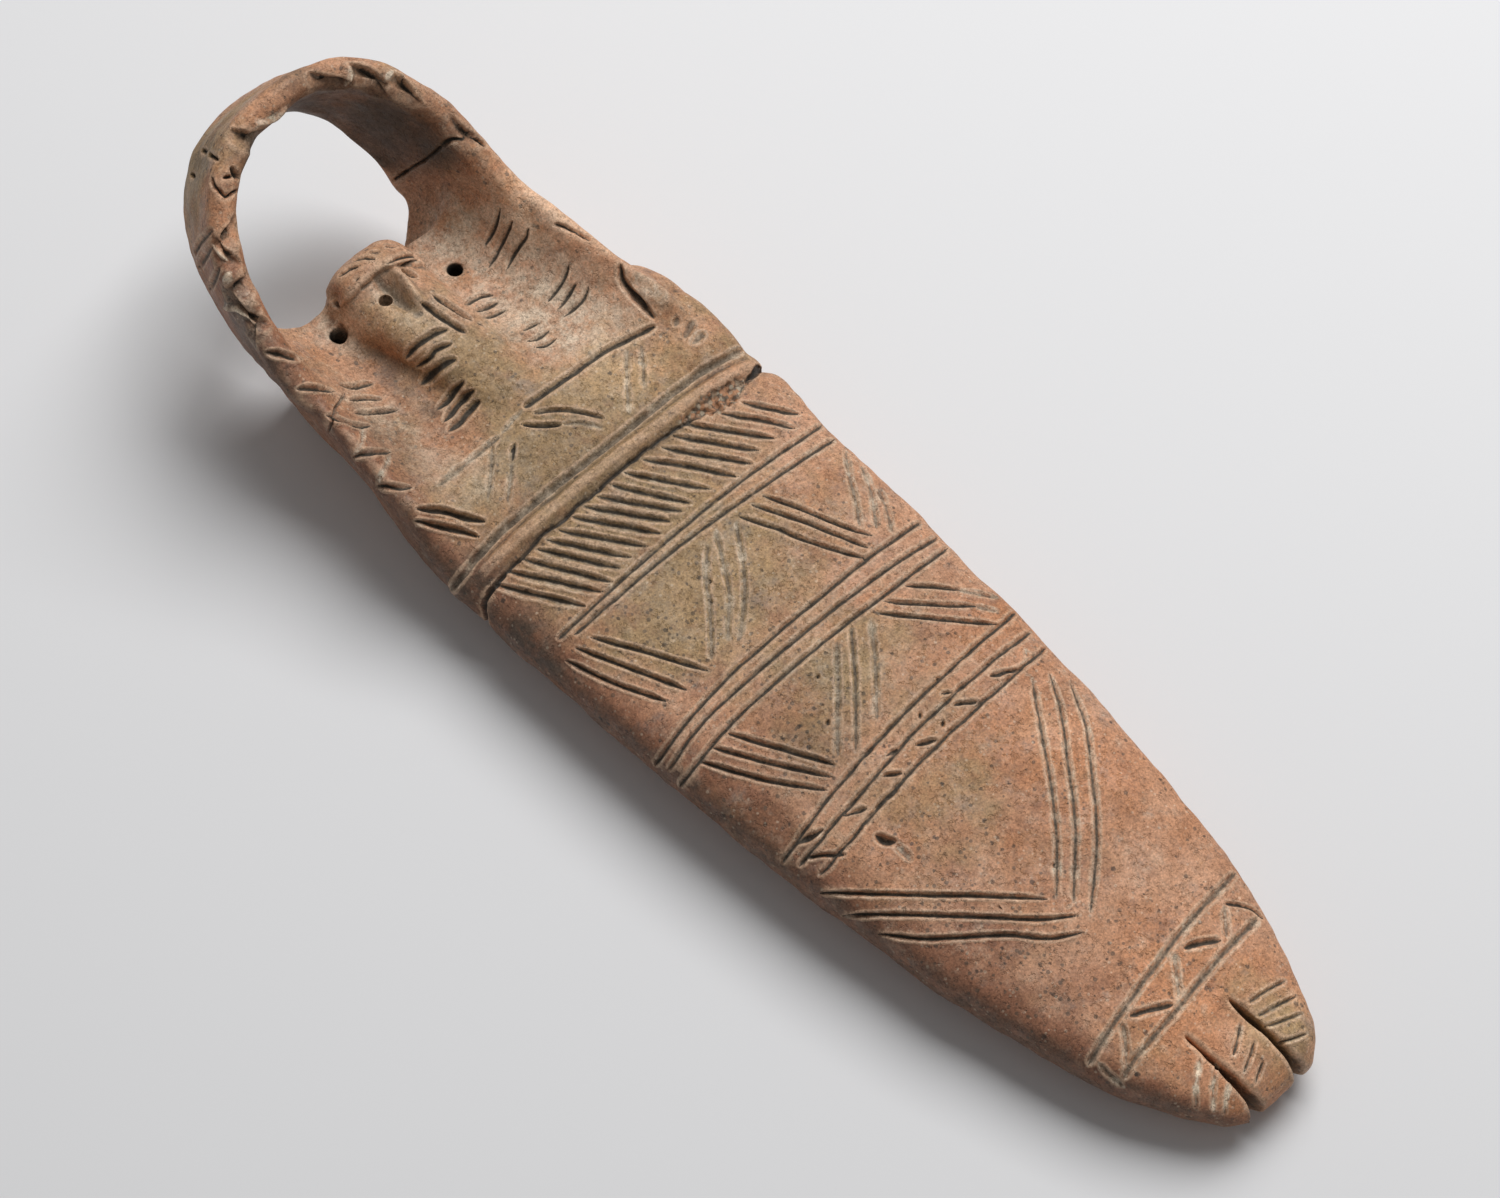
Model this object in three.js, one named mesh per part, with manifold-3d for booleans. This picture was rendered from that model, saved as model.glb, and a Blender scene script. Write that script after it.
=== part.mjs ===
// A cradle figurine of fired red clay: a swaddled infant bound to a carrying board, lying on its back.
// The board is a long slab that narrows to three toes. At the head end its sides rise as walls and
// run over into an open hood that arches above the head. Bands, triangles and hatching are incised
// on top. Millimetres, +Z up, +X from head to foot, +Y to the side with the lobe by the shoulder.
import * as THREE from "three";
import { mergeVertices } from "three/addons/utils/BufferGeometryUtils.js";
import Module from "manifold-3d";

// The slab, in [x, value] stations, with x counted from the mended break at the waist. It is widest
// at a share of its thickness. The roundings are the powers of its section above and below that line.
const HEAD_END = -61.5;
const TOE_END = 156.4;
const WIDEST_SHARE = 0.6;
const TOP_ROUNDING = 3;
const BASE_ROUNDING = 2.5;
const BASE_FLATTENING = 1.4;
const HALF_WIDTHS = [
  [-62, 27], [-49.5, 29.6], [-36, 31.6], [-22, 33.3], [-8, 34.2], [0, 34.8], [20, 34.2], [45, 33.1],
  [71, 31.3], [98, 28.4], [117, 25], [135, 20.1], [147, 15.1], [151, 12.9], [154, 10.8], [156.4, 7.6],
];
const CENTRES = [
  [-62, -2.9], [-49.5, -2.2], [-30, -1], [-10, 0.7], [0, 2], [20, 1.3], [45, 1.1], [135, 1.6],
  [147, 1.9], [156.4, 2.4],
];
const THICKNESSES = [
  [-62, 18.5], [-40, 19], [-18, 20], [20, 20], [80, 19], [125, 16.5], [148, 13.5], [159, 10],
];
const BASE_RISES = [[-62, 0], [118, 0], [140, 0.8], [159, 3.6]];

// The walls beside the head, which the hood's rim carries on: they start this far out from the
// middle, rise between two x, and their tops slope and spread towards the foot.
const WALL_FOOT = 13;
const WALL_EDGE = 0.86;
const RIM_SLOPE = 0.18;
const RIM_SPREAD = 0.12;
const WALL_START = -5;
const WALL_FULL = -20;

// The hood: a band between a front rim and an oval back edge, both leaning out past the head end.
// Each has the middle of its foot, its length up the lean, its half width, its lean in degrees, the
// power of its oval and its skew. The back edge is lifted at its top, and returns level below.
const HOOD_THICKNESS = 5.4;
const RIM = { x: -48.9, y: -3, z: 29.3, length: 39.5, halfWidth: 27.3, lean: 35.7, power: 2.4, skew: -0.08 };
const OVAL = {
  x: -71.2, y: -4.2, z: 14.8, length: 28.3, halfWidth: 20.4, lean: 34.5, power: 2.65, skew: -0.11,
};
const OVAL_LIFT = 2.5;
const OVAL_RETURN = 10.6;
const OVAL_RETURN_RISE = 2.2;
const RETURN_ANGLE = 60;
const RIM_LEG = 14;

// Incised lines: their usual width and depth, how far the cutter stands above the clay, and the
// longest stretch it runs straight.
const LINE_WIDTH = 1.3;
const LINE_DEPTH = 0.8;
const CUT_ABOVE = 0.9;
const CUT_STEP = 18;
const FINE = { width: 1, depth: 0.65 };
const DEEP = { width: 1.7, depth: 1.1 };
const CRACK = { width: 0.8, depth: 0.9 };
const NOTCH = { width: 1.4, depth: 1 };

// The directions in which lines drawn in plan are carried onto the surface, and the height of the
// plan for the slanting one, which reaches the walls under the hood from the left side of the foot.
const DOWN = new THREE.Vector3(0, 0, -1);
const SLANT = new THREE.Vector3(-0.334, 0.33, -0.883);
const DRAWN_HEIGHT = 20;

const CLAY = { color: 0xb07a58, roughness: 0.82, metalness: 0 };

const wasm = await Module();
wasm.setup();

const radians = THREE.MathUtils.degToRad;
const smooth = THREE.MathUtils.smoothstep;
const vector = (x, y, z) => new THREE.Vector3(x, y, z);

// A smooth value at x from a few [x, value] stations, by cubic pieces whose slopes are the
// weighted means of the neighbouring chords.
function along(stations, x) {
  const last = stations.length - 1;
  if (x <= stations[0][0]) return stations[0][1];
  if (x >= stations[last][0]) return stations[last][1];
  const i = stations.findIndex((s) => s[0] > x) - 1;
  const chord = (k) => (stations[k + 1][1] - stations[k][1]) / (stations[k + 1][0] - stations[k][0]);
  const slope = (k) => {
    if (k === 0) return chord(0);
    if (k === last) return chord(last - 1);
    const [before, after] = [chord(k - 1), chord(k)];
    return before * after <= 0 ? 0 : (2 * before * after) / (before + after);
  };
  const span = stations[i + 1][0] - stations[i][0];
  const t = (x - stations[i][0]) / span;
  const [t2, t3] = [t * t, t * t * t];
  return (
    (2 * t3 - 3 * t2 + 1) * stations[i][1] +
    (t3 - 2 * t2 + t) * span * slope(i) +
    (3 * t2 - 2 * t3) * stations[i + 1][1] +
    (t3 - t2) * span * slope(i + 1)
  );
}

const centroid = (ring) => ring.reduce((sum, p) => sum.add(p), vector(0, 0, 0)).divideScalar(ring.length);

// A closed solid from rings of points, each ring with the same count, capped by fans at both ends.
function skin(rings) {
  const count = rings[0].length;
  const positions = rings.flat().flatMap((p) => [p.x, p.y, p.z]);
  const index = [];
  for (let r = 0; r < rings.length - 1; r++) {
    for (let k = 0; k < count; k++) {
      const a = r * count + k;
      const b = r * count + ((k + 1) % count);
      index.push(a, b, b + count, a, b + count, a + count);
    }
  }
  const base = rings.length * count;
  for (const ring of [rings[0], rings[rings.length - 1]]) positions.push(...centroid(ring).toArray());
  for (let k = 0; k < count; k++) {
    const next = (k + 1) % count;
    const far = (rings.length - 1) * count;
    index.push(base, next, k);
    index.push(base + 1, far + k, far + next);
  }
  const geometry = new THREE.BufferGeometry();
  geometry.setAttribute("position", new THREE.Float32BufferAttribute(positions, 3));
  geometry.setIndex(index);
  return geometry;
}

// The manifold solid of a closed geometry, whichever way round its faces were listed.
function solid(geometry) {
  const bare = geometry.clone();
  bare.deleteAttribute("normal");
  bare.deleteAttribute("uv");
  const merged = mergeVertices(bare, 1e-4);
  const faces = new Uint32Array(merged.index.array);
  const make = () =>
    new wasm.Manifold(
      new wasm.Mesh({ numProp: 3, vertProperties: merged.attributes.position.array, triVerts: faces }),
    );
  const made = make();
  if (made.volume() > 0) return made;
  for (let i = 0; i < faces.length; i += 3) [faces[i + 1], faces[i + 2]] = [faces[i + 2], faces[i + 1]];
  return make();
}

const centreLine = (x) => along(CENTRES, x);
const widestHeight = (x) => WIDEST_SHARE * along(THICKNESSES, x);
const halfWidth = (x) => along(HALF_WIDTHS, x);

// How much of the walls stands at x, from 0 at the waist to 1 beside the figure.
const wallGrowth = (x) => smooth(-x, -WALL_START, -WALL_FULL);

// How far the side walls rise over the slab at x, up to the rim's height at the hood.
function wallRise(x) {
  const rimHeight = RIM.z - RIM_SLOPE * Math.max(x - RIM.x, 0);
  return (rimHeight - along(THICKNESSES, x)) * wallGrowth(x);
}

// The height of the upper surface at x and y: a rounded slab with the walls' concave sweep on it.
// The walls' tops are square, so that the slab's own rounding is taken out where they stand.
function topHeight(x, y) {
  const across = Math.min(Math.abs(y - centreLine(x)) / halfWidth(x), 1);
  const thickness = along(THICKNESSES, x);
  const slab = (thickness - widestHeight(x)) * (1 - across ** TOP_ROUNDING) ** (1 / TOP_ROUNDING);
  const reach = (across * halfWidth(x) - WALL_FOOT) / (halfWidth(x) - HOOD_THICKNESS / 2 - WALL_FOOT);
  const sweep = Math.min(Math.max(reach, 0), 1) ** 2;
  const edge = Math.max(across - WALL_EDGE, 0) / (1 - WALL_EDGE);
  const wall = sweep * (1 - edge ** 4) ** 0.25;
  const upright = (thickness - widestHeight(x) - slab) * wall * wallGrowth(x);
  return widestHeight(x) + slab + upright + wallRise(x) * wall;
}

// The underside at x and y: nearly flat, rounded up to the widest line.
function baseHeight(x, y) {
  const across = Math.min(Math.abs(y - centreLine(x)) / halfWidth(x), 1);
  const rise = along(BASE_RISES, x);
  const depth =
    (widestHeight(x) - rise + BASE_FLATTENING) * (1 - across ** BASE_ROUNDING) ** (1 / BASE_ROUNDING);
  return Math.max(widestHeight(x) - depth, rise);
}

// One ring round the board at x. Near the head its sides lean in towards the base, as a trough's do.
function boardRing(x) {
  const TOP_FACETS = 12;
  const BASE_FACETS = 6;
  const TUCK = 0.2;
  const TUCK_START = 5;
  const TUCK_FULL = 38;
  const ring = [];
  const place = (y, z) => {
    const lean = TUCK * smooth(-x, TUCK_START, TUCK_FULL) * (1 - Math.min(z / RIM.z, 1));
    return vector(x, centreLine(x) + (y - centreLine(x)) * (1 - lean), z);
  };
  const across = (k, count) => centreLine(x) + halfWidth(x) * Math.sin(radians(-90 + (180 * k) / count));
  for (let k = 0; k <= TOP_FACETS; k++) {
    const y = across(k, TOP_FACETS);
    ring.push(place(y, topHeight(x, y)));
  }
  for (let k = BASE_FACETS - 1; k > 0; k--) {
    const y = across(k, BASE_FACETS);
    ring.push(place(y, baseHeight(x, y)));
  }
  return ring;
}

// The board, from the straight end under the hood to the rounded end at the toes.
function board() {
  const TIP_BULGE = 0.8;
  const stations = [];
  for (let x = HEAD_END; x < -4; x += 5.3) stations.push(x);
  for (let x = 0; x < 130; x += 16) stations.push(x);
  for (let x = 136; x < 154; x += 6) stations.push(x);
  stations.push(TOE_END - 1.2, TOE_END);
  const rings = stations.map(boardRing);
  const last = rings[rings.length - 1];
  const middle = centroid(last);
  rings.push(last.map((p) => p.clone().lerp(middle, 0.5).add(vector(TIP_BULGE, 0, 0))));
  return skin(rings);
}

// A signed power, which turns a circle's sine or cosine into a squarer oval's.
const squared = (value, power) => Math.sign(value) * Math.abs(value) ** (2 / power);

// A point of the hood's front rim, offset outwards in its own leaning plane. Past the ends of the
// arch, below 0 and above 180 degrees, the rim runs straight on along the walls.
function rimPoint(angle, offset) {
  const held = radians(Math.min(Math.max(angle, 0), 180));
  const out = (RIM.length + offset) * squared(Math.max(Math.sin(held), 0), RIM.power);
  const side = (RIM.halfWidth + offset) * squared(Math.cos(held), RIM.power);
  const leg = (RIM_LEG * Math.max(-angle, angle - 180, 0)) / RETURN_ANGLE;
  const lean = radians(RIM.lean);
  return vector(
    RIM.x - out * Math.cos(lean) + leg + RIM.skew * side,
    RIM.y + side + Math.sign(side) * RIM_SPREAD * leg,
    RIM.z + out * Math.sin(lean) - RIM_SLOPE * leg,
  );
}

// A point of the hood's oval back edge. Its far part leans up with the hood, and its near part
// returns, nearly level, towards the board's end.
function ovalPoint(angle, offset) {
  const a = radians(angle);
  const arch = Math.sin(a) >= 0;
  const out = ((arch ? OVAL.length : OVAL_RETURN) + offset) * squared(Math.sin(a), OVAL.power);
  const side = (OVAL.halfWidth + offset) * squared(Math.cos(a), OVAL.power);
  const lean = arch ? radians(OVAL.lean) : 0;
  const arched = out * Math.sin(lean) + OVAL_LIFT * Math.sin(a) ** 3;
  const rise = arch ? arched : (-out * OVAL_RETURN_RISE) / OVAL_RETURN;
  return vector(OVAL.x - out * Math.cos(lean) + OVAL.skew * side, OVAL.y + side, OVAL.z + rise);
}

// A point in the hood's band: share 0 at the back edge and 1 at the rim, side -1 inside and 1 outside.
const hoodPoint = (angle, share, side) =>
  ovalPoint(angle, (side * HOOD_THICKNESS) / 2).lerp(rimPoint(angle, (side * HOOD_THICKNESS) / 2), share);

// The hood's band, as rings round its section from the right wall over the top to the left wall.
// Past the arch both ends dive into the board and draw in towards its middle.
function hood() {
  const DIVE = 8;
  const DIVE_START = 5;
  const DRAW_IN = 0.2;
  const SECTION = [[0, -0.5], [0, 0.5], [0.08, 1], [0.93, 1], [1, 0.5], [1, -0.5], [0.93, -1], [0.08, -1]];
  const ARCH_STEP = 7.5;
  const END_STEP = 15;
  const angles = [];
  for (let a = -RETURN_ANGLE; a < 0; a += END_STEP) angles.push(a);
  for (let a = 0; a <= 180; a += ARCH_STEP) angles.push(a);
  for (let a = 180 + END_STEP; a <= 180 + RETURN_ANGLE; a += END_STEP) angles.push(a);
  return skin(
    angles.map((a) => {
      const dive = smooth(Math.max(-a, a - 180), DIVE_START, RETURN_ANGLE);
      return SECTION.map(([share, side]) => {
        const point = hoodPoint(a, share, side);
        return point.add(vector(0, DRAW_IN * dive * (RIM.y - point.y), -DIVE * dive));
      });
    }),
  );
}

// The figure raised in the trough: the crown, the brow, the face and the chest, as one ridge.
function figureRidge() {
  const SECTION_POINTS = 12;
  const SQUARENESS = 2.4;
  const BED = 16;
  const DEPTH = 7;
  const MIDDLES = [[-64, -4.6], [-50, -3.8], [-38, -2.2], [-20, -1]];
  const WIDTHS = [[-64.2, 5], [-63, 7.6], [-60, 9.6], [-52, 9.8], [-44, 8.8], [-34, 8.4], [-20, 6.5]];
  const CRESTS = [
    [-64.2, 18.5], [-63, 23], [-60, 26.6], [-57, 27], [-55.2, 25.6], [-52, 24.8],
    [-44, 24.4], [-34, 22.6], [-24, 20.6], [-20, 19.4],
  ];
  const rings = [];
  const STATIONS = [-64.2, -63, -61, -59.4, -57.6, -56.2, -55, -53, -49, -45, -41, -36, -30, -24, -20];
  for (const x of STATIONS) {
    const ring = [];
    for (let k = 0; k < SECTION_POINTS; k++) {
      const a = (2 * Math.PI * k) / SECTION_POINTS;
      const up = Math.sin(a) > 0 ? along(CRESTS, x) - BED : DEPTH;
      const y = along(MIDDLES, x) + along(WIDTHS, x) * squared(Math.cos(a), SQUARENESS);
      ring.push(vector(x, y, BED + up * squared(Math.sin(a), SQUARENESS)));
    }
    rings.push(ring);
  }
  return skin(rings);
}

// A rounded lump: a sphere, swollen towards a box by its power, drawn out to three half sizes,
// pitched and turned.
function lump(centre, halfSizes, { turn = 0, pitch = 0, power = 2 } = {}) {
  const geometry = new THREE.SphereGeometry(1, 12, 7);
  const position = geometry.attributes.position;
  for (let i = 0; i < position.count; i++) {
    const p = vector(0, 0, 0).fromBufferAttribute(position, i);
    const size = Math.abs(p.x) ** power + Math.abs(p.y) ** power + Math.abs(p.z) ** power;
    position.setXYZ(i, ...p.multiplyScalar(size ** (-1 / power)).toArray());
  }
  geometry.rotateX(Math.PI / 2);
  geometry.scale(...halfSizes);
  geometry.rotateY(radians(pitch));
  geometry.rotateZ(radians(turn));
  geometry.translate(...centre);
  return geometry;
}

// A V-shaped cutter along points on a surface, shallower at both ends, as a stylus leaves a line.
function cutter(points, normals, width, depth) {
  const END_DEPTH = 0.75;
  const END_WIDTH = 0.85;
  const rings = points.map((p, i) => {
    const ahead = points[Math.min(i + 1, points.length - 1)].clone();
    const side = ahead.sub(points[Math.max(i - 1, 0)]).cross(normals[i]).normalize();
    const isEnd = i === 0 || i === points.length - 1;
    const deep = depth * (isEnd ? END_DEPTH : 1);
    const flare = (width / 2) * (1 + CUT_ABOVE / deep) * (isEnd ? END_WIDTH : 1);
    const lift = (distance, sideways) =>
      p.clone().addScaledVector(normals[i], distance).addScaledVector(side, sideways);
    return [lift(CUT_ABOVE, -flare), lift(-deep, 0), lift(CUT_ABOVE, flare)];
  });
  return solid(skin(rings));
}

// A line incised on the board through plan points, bowed sideways by the given amount at its middle.
function stroke(start, end, look = {}) {
  const { width = LINE_WIDTH, depth = LINE_DEPTH, bow = 0, step = CUT_STEP, sight = DOWN } = look;
  const [dx, dy] = [end[0] - start[0], end[1] - start[1]];
  const length = Math.hypot(dx, dy);
  const pieces = Math.max(1, Math.ceil(length / step));
  const points = [];
  const normals = [];
  for (let k = 0; k <= pieces; k++) {
    const t = k / pieces;
    const off = (bow * 4 * t * (1 - t)) / length;
    const [x, y] = [start[0] + dx * t - dy * off, start[1] + dy * t + dx * off];
    const { point, normal } = surface(x, y, sight);
    points.push(point);
    normals.push(normal);
  }
  return cutter(points, normals, width, depth);
}

// A run of like strokes: the first one, then each next one moved by a step at either end.
function strokes(count, start, end, startStep, endStep, look) {
  const move = (p, step, k) => [p[0] + step[0] * k, p[1] + step[1] * k];
  return Array.from({ length: count }, (_, k) =>
    stroke(move(start, startStep, k), move(end, endStep, k), look),
  );
}

// A line right across the board, through its x at the left edge, the middle and the right edge.
function crossLine(left, middle, right, look) {
  const EDGE = 0.96;
  const start = [left, centreLine(left) - EDGE * halfWidth(left)];
  const end = [right, centreLine(right) + EDGE * halfWidth(right)];
  return stroke(start, end, { ...look, bow: (left + right) / 2 - middle, step: CUT_STEP / 2 });
}

// The bands that wrap the swaddling, and the hatched band under the waist.
function bands() {
  return [
    crossLine(-4.6, -1.9, 0, DEEP),
    crossLine(1, 3.1, 2.2, CRACK),
    crossLine(18.2, 18.8, 18.4),
    crossLine(21.2, 22.5, 21.6),
    crossLine(44.6, 45.1, 42.8),
    crossLine(47.4, 48.4, 47.8),
    crossLine(50.5, 51.5, 50.4),
    crossLine(71.8, 70.3, 67.6),
    crossLine(74.5, 73.2, 71.2),
    crossLine(78.6, 76.4, 75.6),
    crossLine(132.2, 129.6, 126.4),
    crossLine(137.4, 136.1, 134.2),
    ...strokes(17, [0.3, -29.6], [15.4, -22.2], [0.27, 3.36], [0.05, 3.36]),
  ];
}

// The panels between the bands: sets of parallel lines that meet as triangles, a large chevron,
// a gouge, the collar line over the chest and two strokes under the left shoulder.
function panels() {
  return [
    ...strokes(3, [20.4, -24.7], [38.9, -15.5], [0.2, -2.6], [0.7, -3.4]),
    ...strokes(3, [22.2, 15.6], [41.3, 25.2], [0, -3.1], [0.8, -3]),
    ...strokes(3, [51.4, -20.9], [67.2, -11.8], [0.1, -3.2], [1.1, -2.4]),
    ...strokes(3, [52, 20.7], [60.6, 29], [-0.1, -4.2], [2.6, -1]),
    ...strokes(3, [82, -27.8], [109.6, -3.2], [5.2, 0.7], [3.8, -0.2]),
    ...[0, 1, 2].map((k) =>
      stroke([79.6 + 1.7 * k, 23.6 + 2.1 * k], [109.6 + 2.8 * k, -3 + 1.1 * k], { bow: 0.8 + 0.8 * k }),
    ),
    stroke([80.3, -16.3], [88.2, -15.6], DEEP),
    stroke([-20, -22.5], [-18.2, 24.5]),
    ...strokes(2, [-18.9, -2.1], [-15, 2.6], [0.7, -2.6], [1.2, -2.4]),
    ...strokes(2, [-14.6, 3.1], [-6.3, 8.9], [1.1, -3], [-0.2, -4]),
    ...strokes(2, [-17.4, 19.2], [-6.6, 10.2], [1.4, 3], [-1.4, 4.6]),
    ...strokes(2, [-19.1, -10.8], [-10.1, -20.2], [1.7, 3.4], [1.4, 2.4]),
    ...strokes(2, [-18.2, -28.6], [-8.8, -21.8], [1, -1.8], [0.6, -3.1], DEEP),
  ];
}

// The zigzag between the two ankle lines, and the strokes on the three toes.
function footStrokes() {
  const ZIGZAG_START = -16.5;
  const ZIGZAG_STEP = 6.1;
  const ZIGZAG_MIDDLE = 133.9;
  const ZIGZAG_REACH = 2.7;
  const ZIGZAG_SLANT = 0.09;
  const corner = (k) => {
    const y = ZIGZAG_START + ZIGZAG_STEP * k;
    return [ZIGZAG_MIDDLE + (k % 2 ? -ZIGZAG_REACH : ZIGZAG_REACH) - ZIGZAG_SLANT * y, y];
  };
  return [
    ...[0, 1, 2, 3, 4, 5].map((k) => stroke(corner(k), corner(k + 1), FINE)),
    ...strokes(4, [143.5, 7.2], [144.7, 14.8], [2.4, -0.3], [2.6, -1.3], FINE),
    ...strokes(3, [144.6, 3.4], [148.3, -1.6], [3.3, -0.4], [2.6, 0], FINE),
    ...strokes(3, [143.4, -6.1], [148.6, -10], [2.8, 0.6], [1.9, 1.4], FINE),
  ];
}

// The two deep slits that part the toes: wedges open at the top and at the end.
function toeSlits() {
  const OPEN_TOP = 20;
  const REACH = TOE_END + 2;
  const START = { half: 0.6, depth: 3 };
  const END = { half: 1.5, depth: 9 };
  const BOTTOM_SHARE = 0.4;
  const DEEP_BY = 0.42;
  const slit = (fromX, fromY, toY) => {
    const rings = [0, 0.3, 0.75, 1].map((t) => {
      const x = fromX + (REACH - fromX) * t;
      const y = fromY + (toY - fromY) * t;
      const depth = START.depth + (END.depth - START.depth) * Math.min(t / DEEP_BY, 1);
      const bottom = along(THICKNESSES, x) - depth;
      const half = START.half + (END.half - START.half) * t;
      return [
        vector(x, y - half, OPEN_TOP),
        vector(x, y - half * BOTTOM_SHARE, bottom),
        vector(x, y + half * BOTTOM_SHARE, bottom),
        vector(x, y + half, OPEN_TOP),
      ];
    });
    return solid(skin(rings));
  };
  return [slit(140, 5.1, 6.4), slit(138.4, -4.9, -3)];
}

// The notches on the hood's front rim: a zigzag cut along it, from the right side over to the left.
function rimNotches() {
  const COUNT = 20;
  const FROM = 32;
  const TO = 178;
  const REACH = 0.7;
  const corner = (k) => {
    const angle = FROM + ((TO - FROM) * k) / COUNT;
    const side = k % 2 ? -REACH : REACH;
    const point = hoodPoint(angle, 1, side);
    return { point, normal: point.clone().sub(hoodPoint(angle, 0.8, side)).normalize() };
  };
  return Array.from({ length: COUNT }, (_, k) => {
    const [a, b] = [corner(k), corner(k + 1)];
    return cutter([a.point, b.point], [a.normal, b.normal], NOTCH.width, NOTCH.depth);
  });
}

// The strokes round the figure: the hair, two lines under the nose, rows on both flanks of the
// chest, rows on the inner faces of both walls, the left wall's notches and the right lobe's dents.
function figureStrokes() {
  const rows = (count, start, end, startStep, endStep, look) =>
    strokes(count, start, end, startStep, endStep, { ...look, sight: SLANT });
  return [
    ...rows(6, [-63.2, -8.6], [-60.2, -9.6], [0.4, 2.3], [0.4, 2.5], FINE),
    ...rows(2, [-48.6, -0.2], [-39.4, 0.8], [0.3, 3.1], [0.5, 3.4], DEEP),
    ...rows(4, [-44.1, -8.2], [-42.9, -3.2], [2.5, -0.9], [2.4, -0.8], DEEP),
    ...rows(3, [-31.2, -13.2], [-31.2, -7.2], [2.6, -0.8], [2.7, -0.3], DEEP),
    ...rows(3, [-43.4, 5.8], [-41.9, 9.3], [1.8, -0.4], [2.1, 0]),
    ...rows(3, [-32.3, 8.6], [-30.5, 11.7], [2, -0.4], [1.9, -0.2]),
    ...rows(3, [-51.6, 17.3], [-53.5, 22.9], [2.6, -0.7], [3.6, -0.4]),
    ...rows(3, [-33.1, 16.5], [-36, 23.4], [2.4, 0], [3.1, -0.4]),
    ...rows(3, [-46.5, -21.9], [-43.3, -18], [3, -1], [3.6, -0.3]),
    ...rows(5, [-60.1, -26], [-55.2, -23], [8.6, -0.8], [7.9, -1.1]),
    ...rows(3, [-16, 31], [-15.1, 28.2], [2.2, 0], [2.4, 0.1]),
  ];
}

// Round holes: the two eyes, and two string holes through the board beside the head.
function holes() {
  const TOP = 30;
  const EYE_BOTTOM = 22.2;
  const THROUGH = -2;
  const drill = (x, y, radius, low) => {
    const geometry = new THREE.CylinderGeometry(radius, radius, TOP - low, 12);
    geometry.rotateX(Math.PI / 2);
    geometry.translate(x, y, (low + TOP) / 2);
    return solid(geometry);
  };
  return [
    drill(-51.6, -6.4, 0.95, EYE_BOTTOM),
    drill(-52.4, 0.8, 0.9, EYE_BOTTOM),
    drill(-51.4, 9.4, 1.6, THROUGH),
    drill(-55.6, -15, 1.8, THROUGH),
  ];
}

const union = (solids) => solids.reduce((whole, part) => whole.add(part));

// The main body of a cut or joined solid, without the slivers and pockets left between its faces.
const mainBody = (made) => made.decompose().sort((a, b) => b.volume() - a.volume())[0];

function geometryOf(made) {
  const { vertProperties, triVerts } = made.getMesh();
  const geometry = new THREE.BufferGeometry();
  geometry.setAttribute("position", new THREE.BufferAttribute(vertProperties, 3));
  geometry.setIndex(new THREE.BufferAttribute(triVerts, 1));
  return geometry;
}

const body = mainBody(union([
  solid(board()),
  solid(hood()),
  solid(figureRidge()),
  solid(lump([-51.6, -1.8, 24.2], [5.4, 1.7, 2.4], { turn: 4, pitch: -8 })),
  solid(lump([-15.4, 29.2, 13], [17.2, 9.4, 7], { power: 2.9 })),
  solid(lump([-4.5, -28.4, 13], [6, 5.6, 4.6])),
]));

// The point of the uncut body that a plan point is carried to, and the outward normal there, from
// the surface a little way off on all sides.
const uncut = new THREE.Mesh(geometryOf(body));
const caster = new THREE.Raycaster();
function surface(x, y, sight) {
  const CLEAR = 90;
  const REACH = 0.8;
  const landing = (dx, dy) => {
    caster.set(vector(x + dx, y + dy, DRAWN_HEIGHT).addScaledVector(sight, -CLEAR), sight);
    return caster.intersectObject(uncut)[0]?.point ?? landing(dx / 2, dy / 2);
  };
  const alongX = landing(REACH, 0).sub(landing(-REACH, 0));
  const alongY = landing(0, REACH).sub(landing(0, -REACH));
  return { point: landing(0, 0), normal: alongX.cross(alongY).normalize() };
}

const cuts = union([
  ...bands(), ...panels(), ...footStrokes(), ...toeSlits(), ...rimNotches(), ...figureStrokes(), ...holes(),
]);
const geometry = geometryOf(mainBody(body.subtract(cuts)));
geometry.computeBoundingBox();
const middle = geometry.boundingBox.getCenter(vector(0, 0, 0));
geometry.translate(-middle.x, -middle.y, -geometry.boundingBox.min.z);

const figurine = new THREE.Mesh(geometry, new THREE.MeshStandardMaterial(CLAY));
figurine.name = "cradle_figurine";

const group = new THREE.Group();
group.add(figurine);
export default group;
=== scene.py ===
import math

import bpy
import numpy as np
from mathutils import Euler, Matrix, Vector
from mathutils.bvhtree import BVHTree


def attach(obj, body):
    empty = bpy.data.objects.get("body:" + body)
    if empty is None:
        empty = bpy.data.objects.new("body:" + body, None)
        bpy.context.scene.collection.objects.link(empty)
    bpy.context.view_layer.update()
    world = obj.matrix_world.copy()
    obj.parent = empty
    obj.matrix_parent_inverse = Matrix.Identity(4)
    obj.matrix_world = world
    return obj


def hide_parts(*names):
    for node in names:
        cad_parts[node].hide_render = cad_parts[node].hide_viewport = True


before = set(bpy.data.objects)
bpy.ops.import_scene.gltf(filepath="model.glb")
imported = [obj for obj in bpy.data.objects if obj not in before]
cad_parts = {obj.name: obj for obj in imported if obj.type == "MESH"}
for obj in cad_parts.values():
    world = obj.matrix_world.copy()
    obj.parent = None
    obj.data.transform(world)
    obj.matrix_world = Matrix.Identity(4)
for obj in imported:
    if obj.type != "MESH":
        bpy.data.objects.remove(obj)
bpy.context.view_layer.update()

scene = bpy.context.scene
scene.view_settings.view_transform = "Standard"

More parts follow.
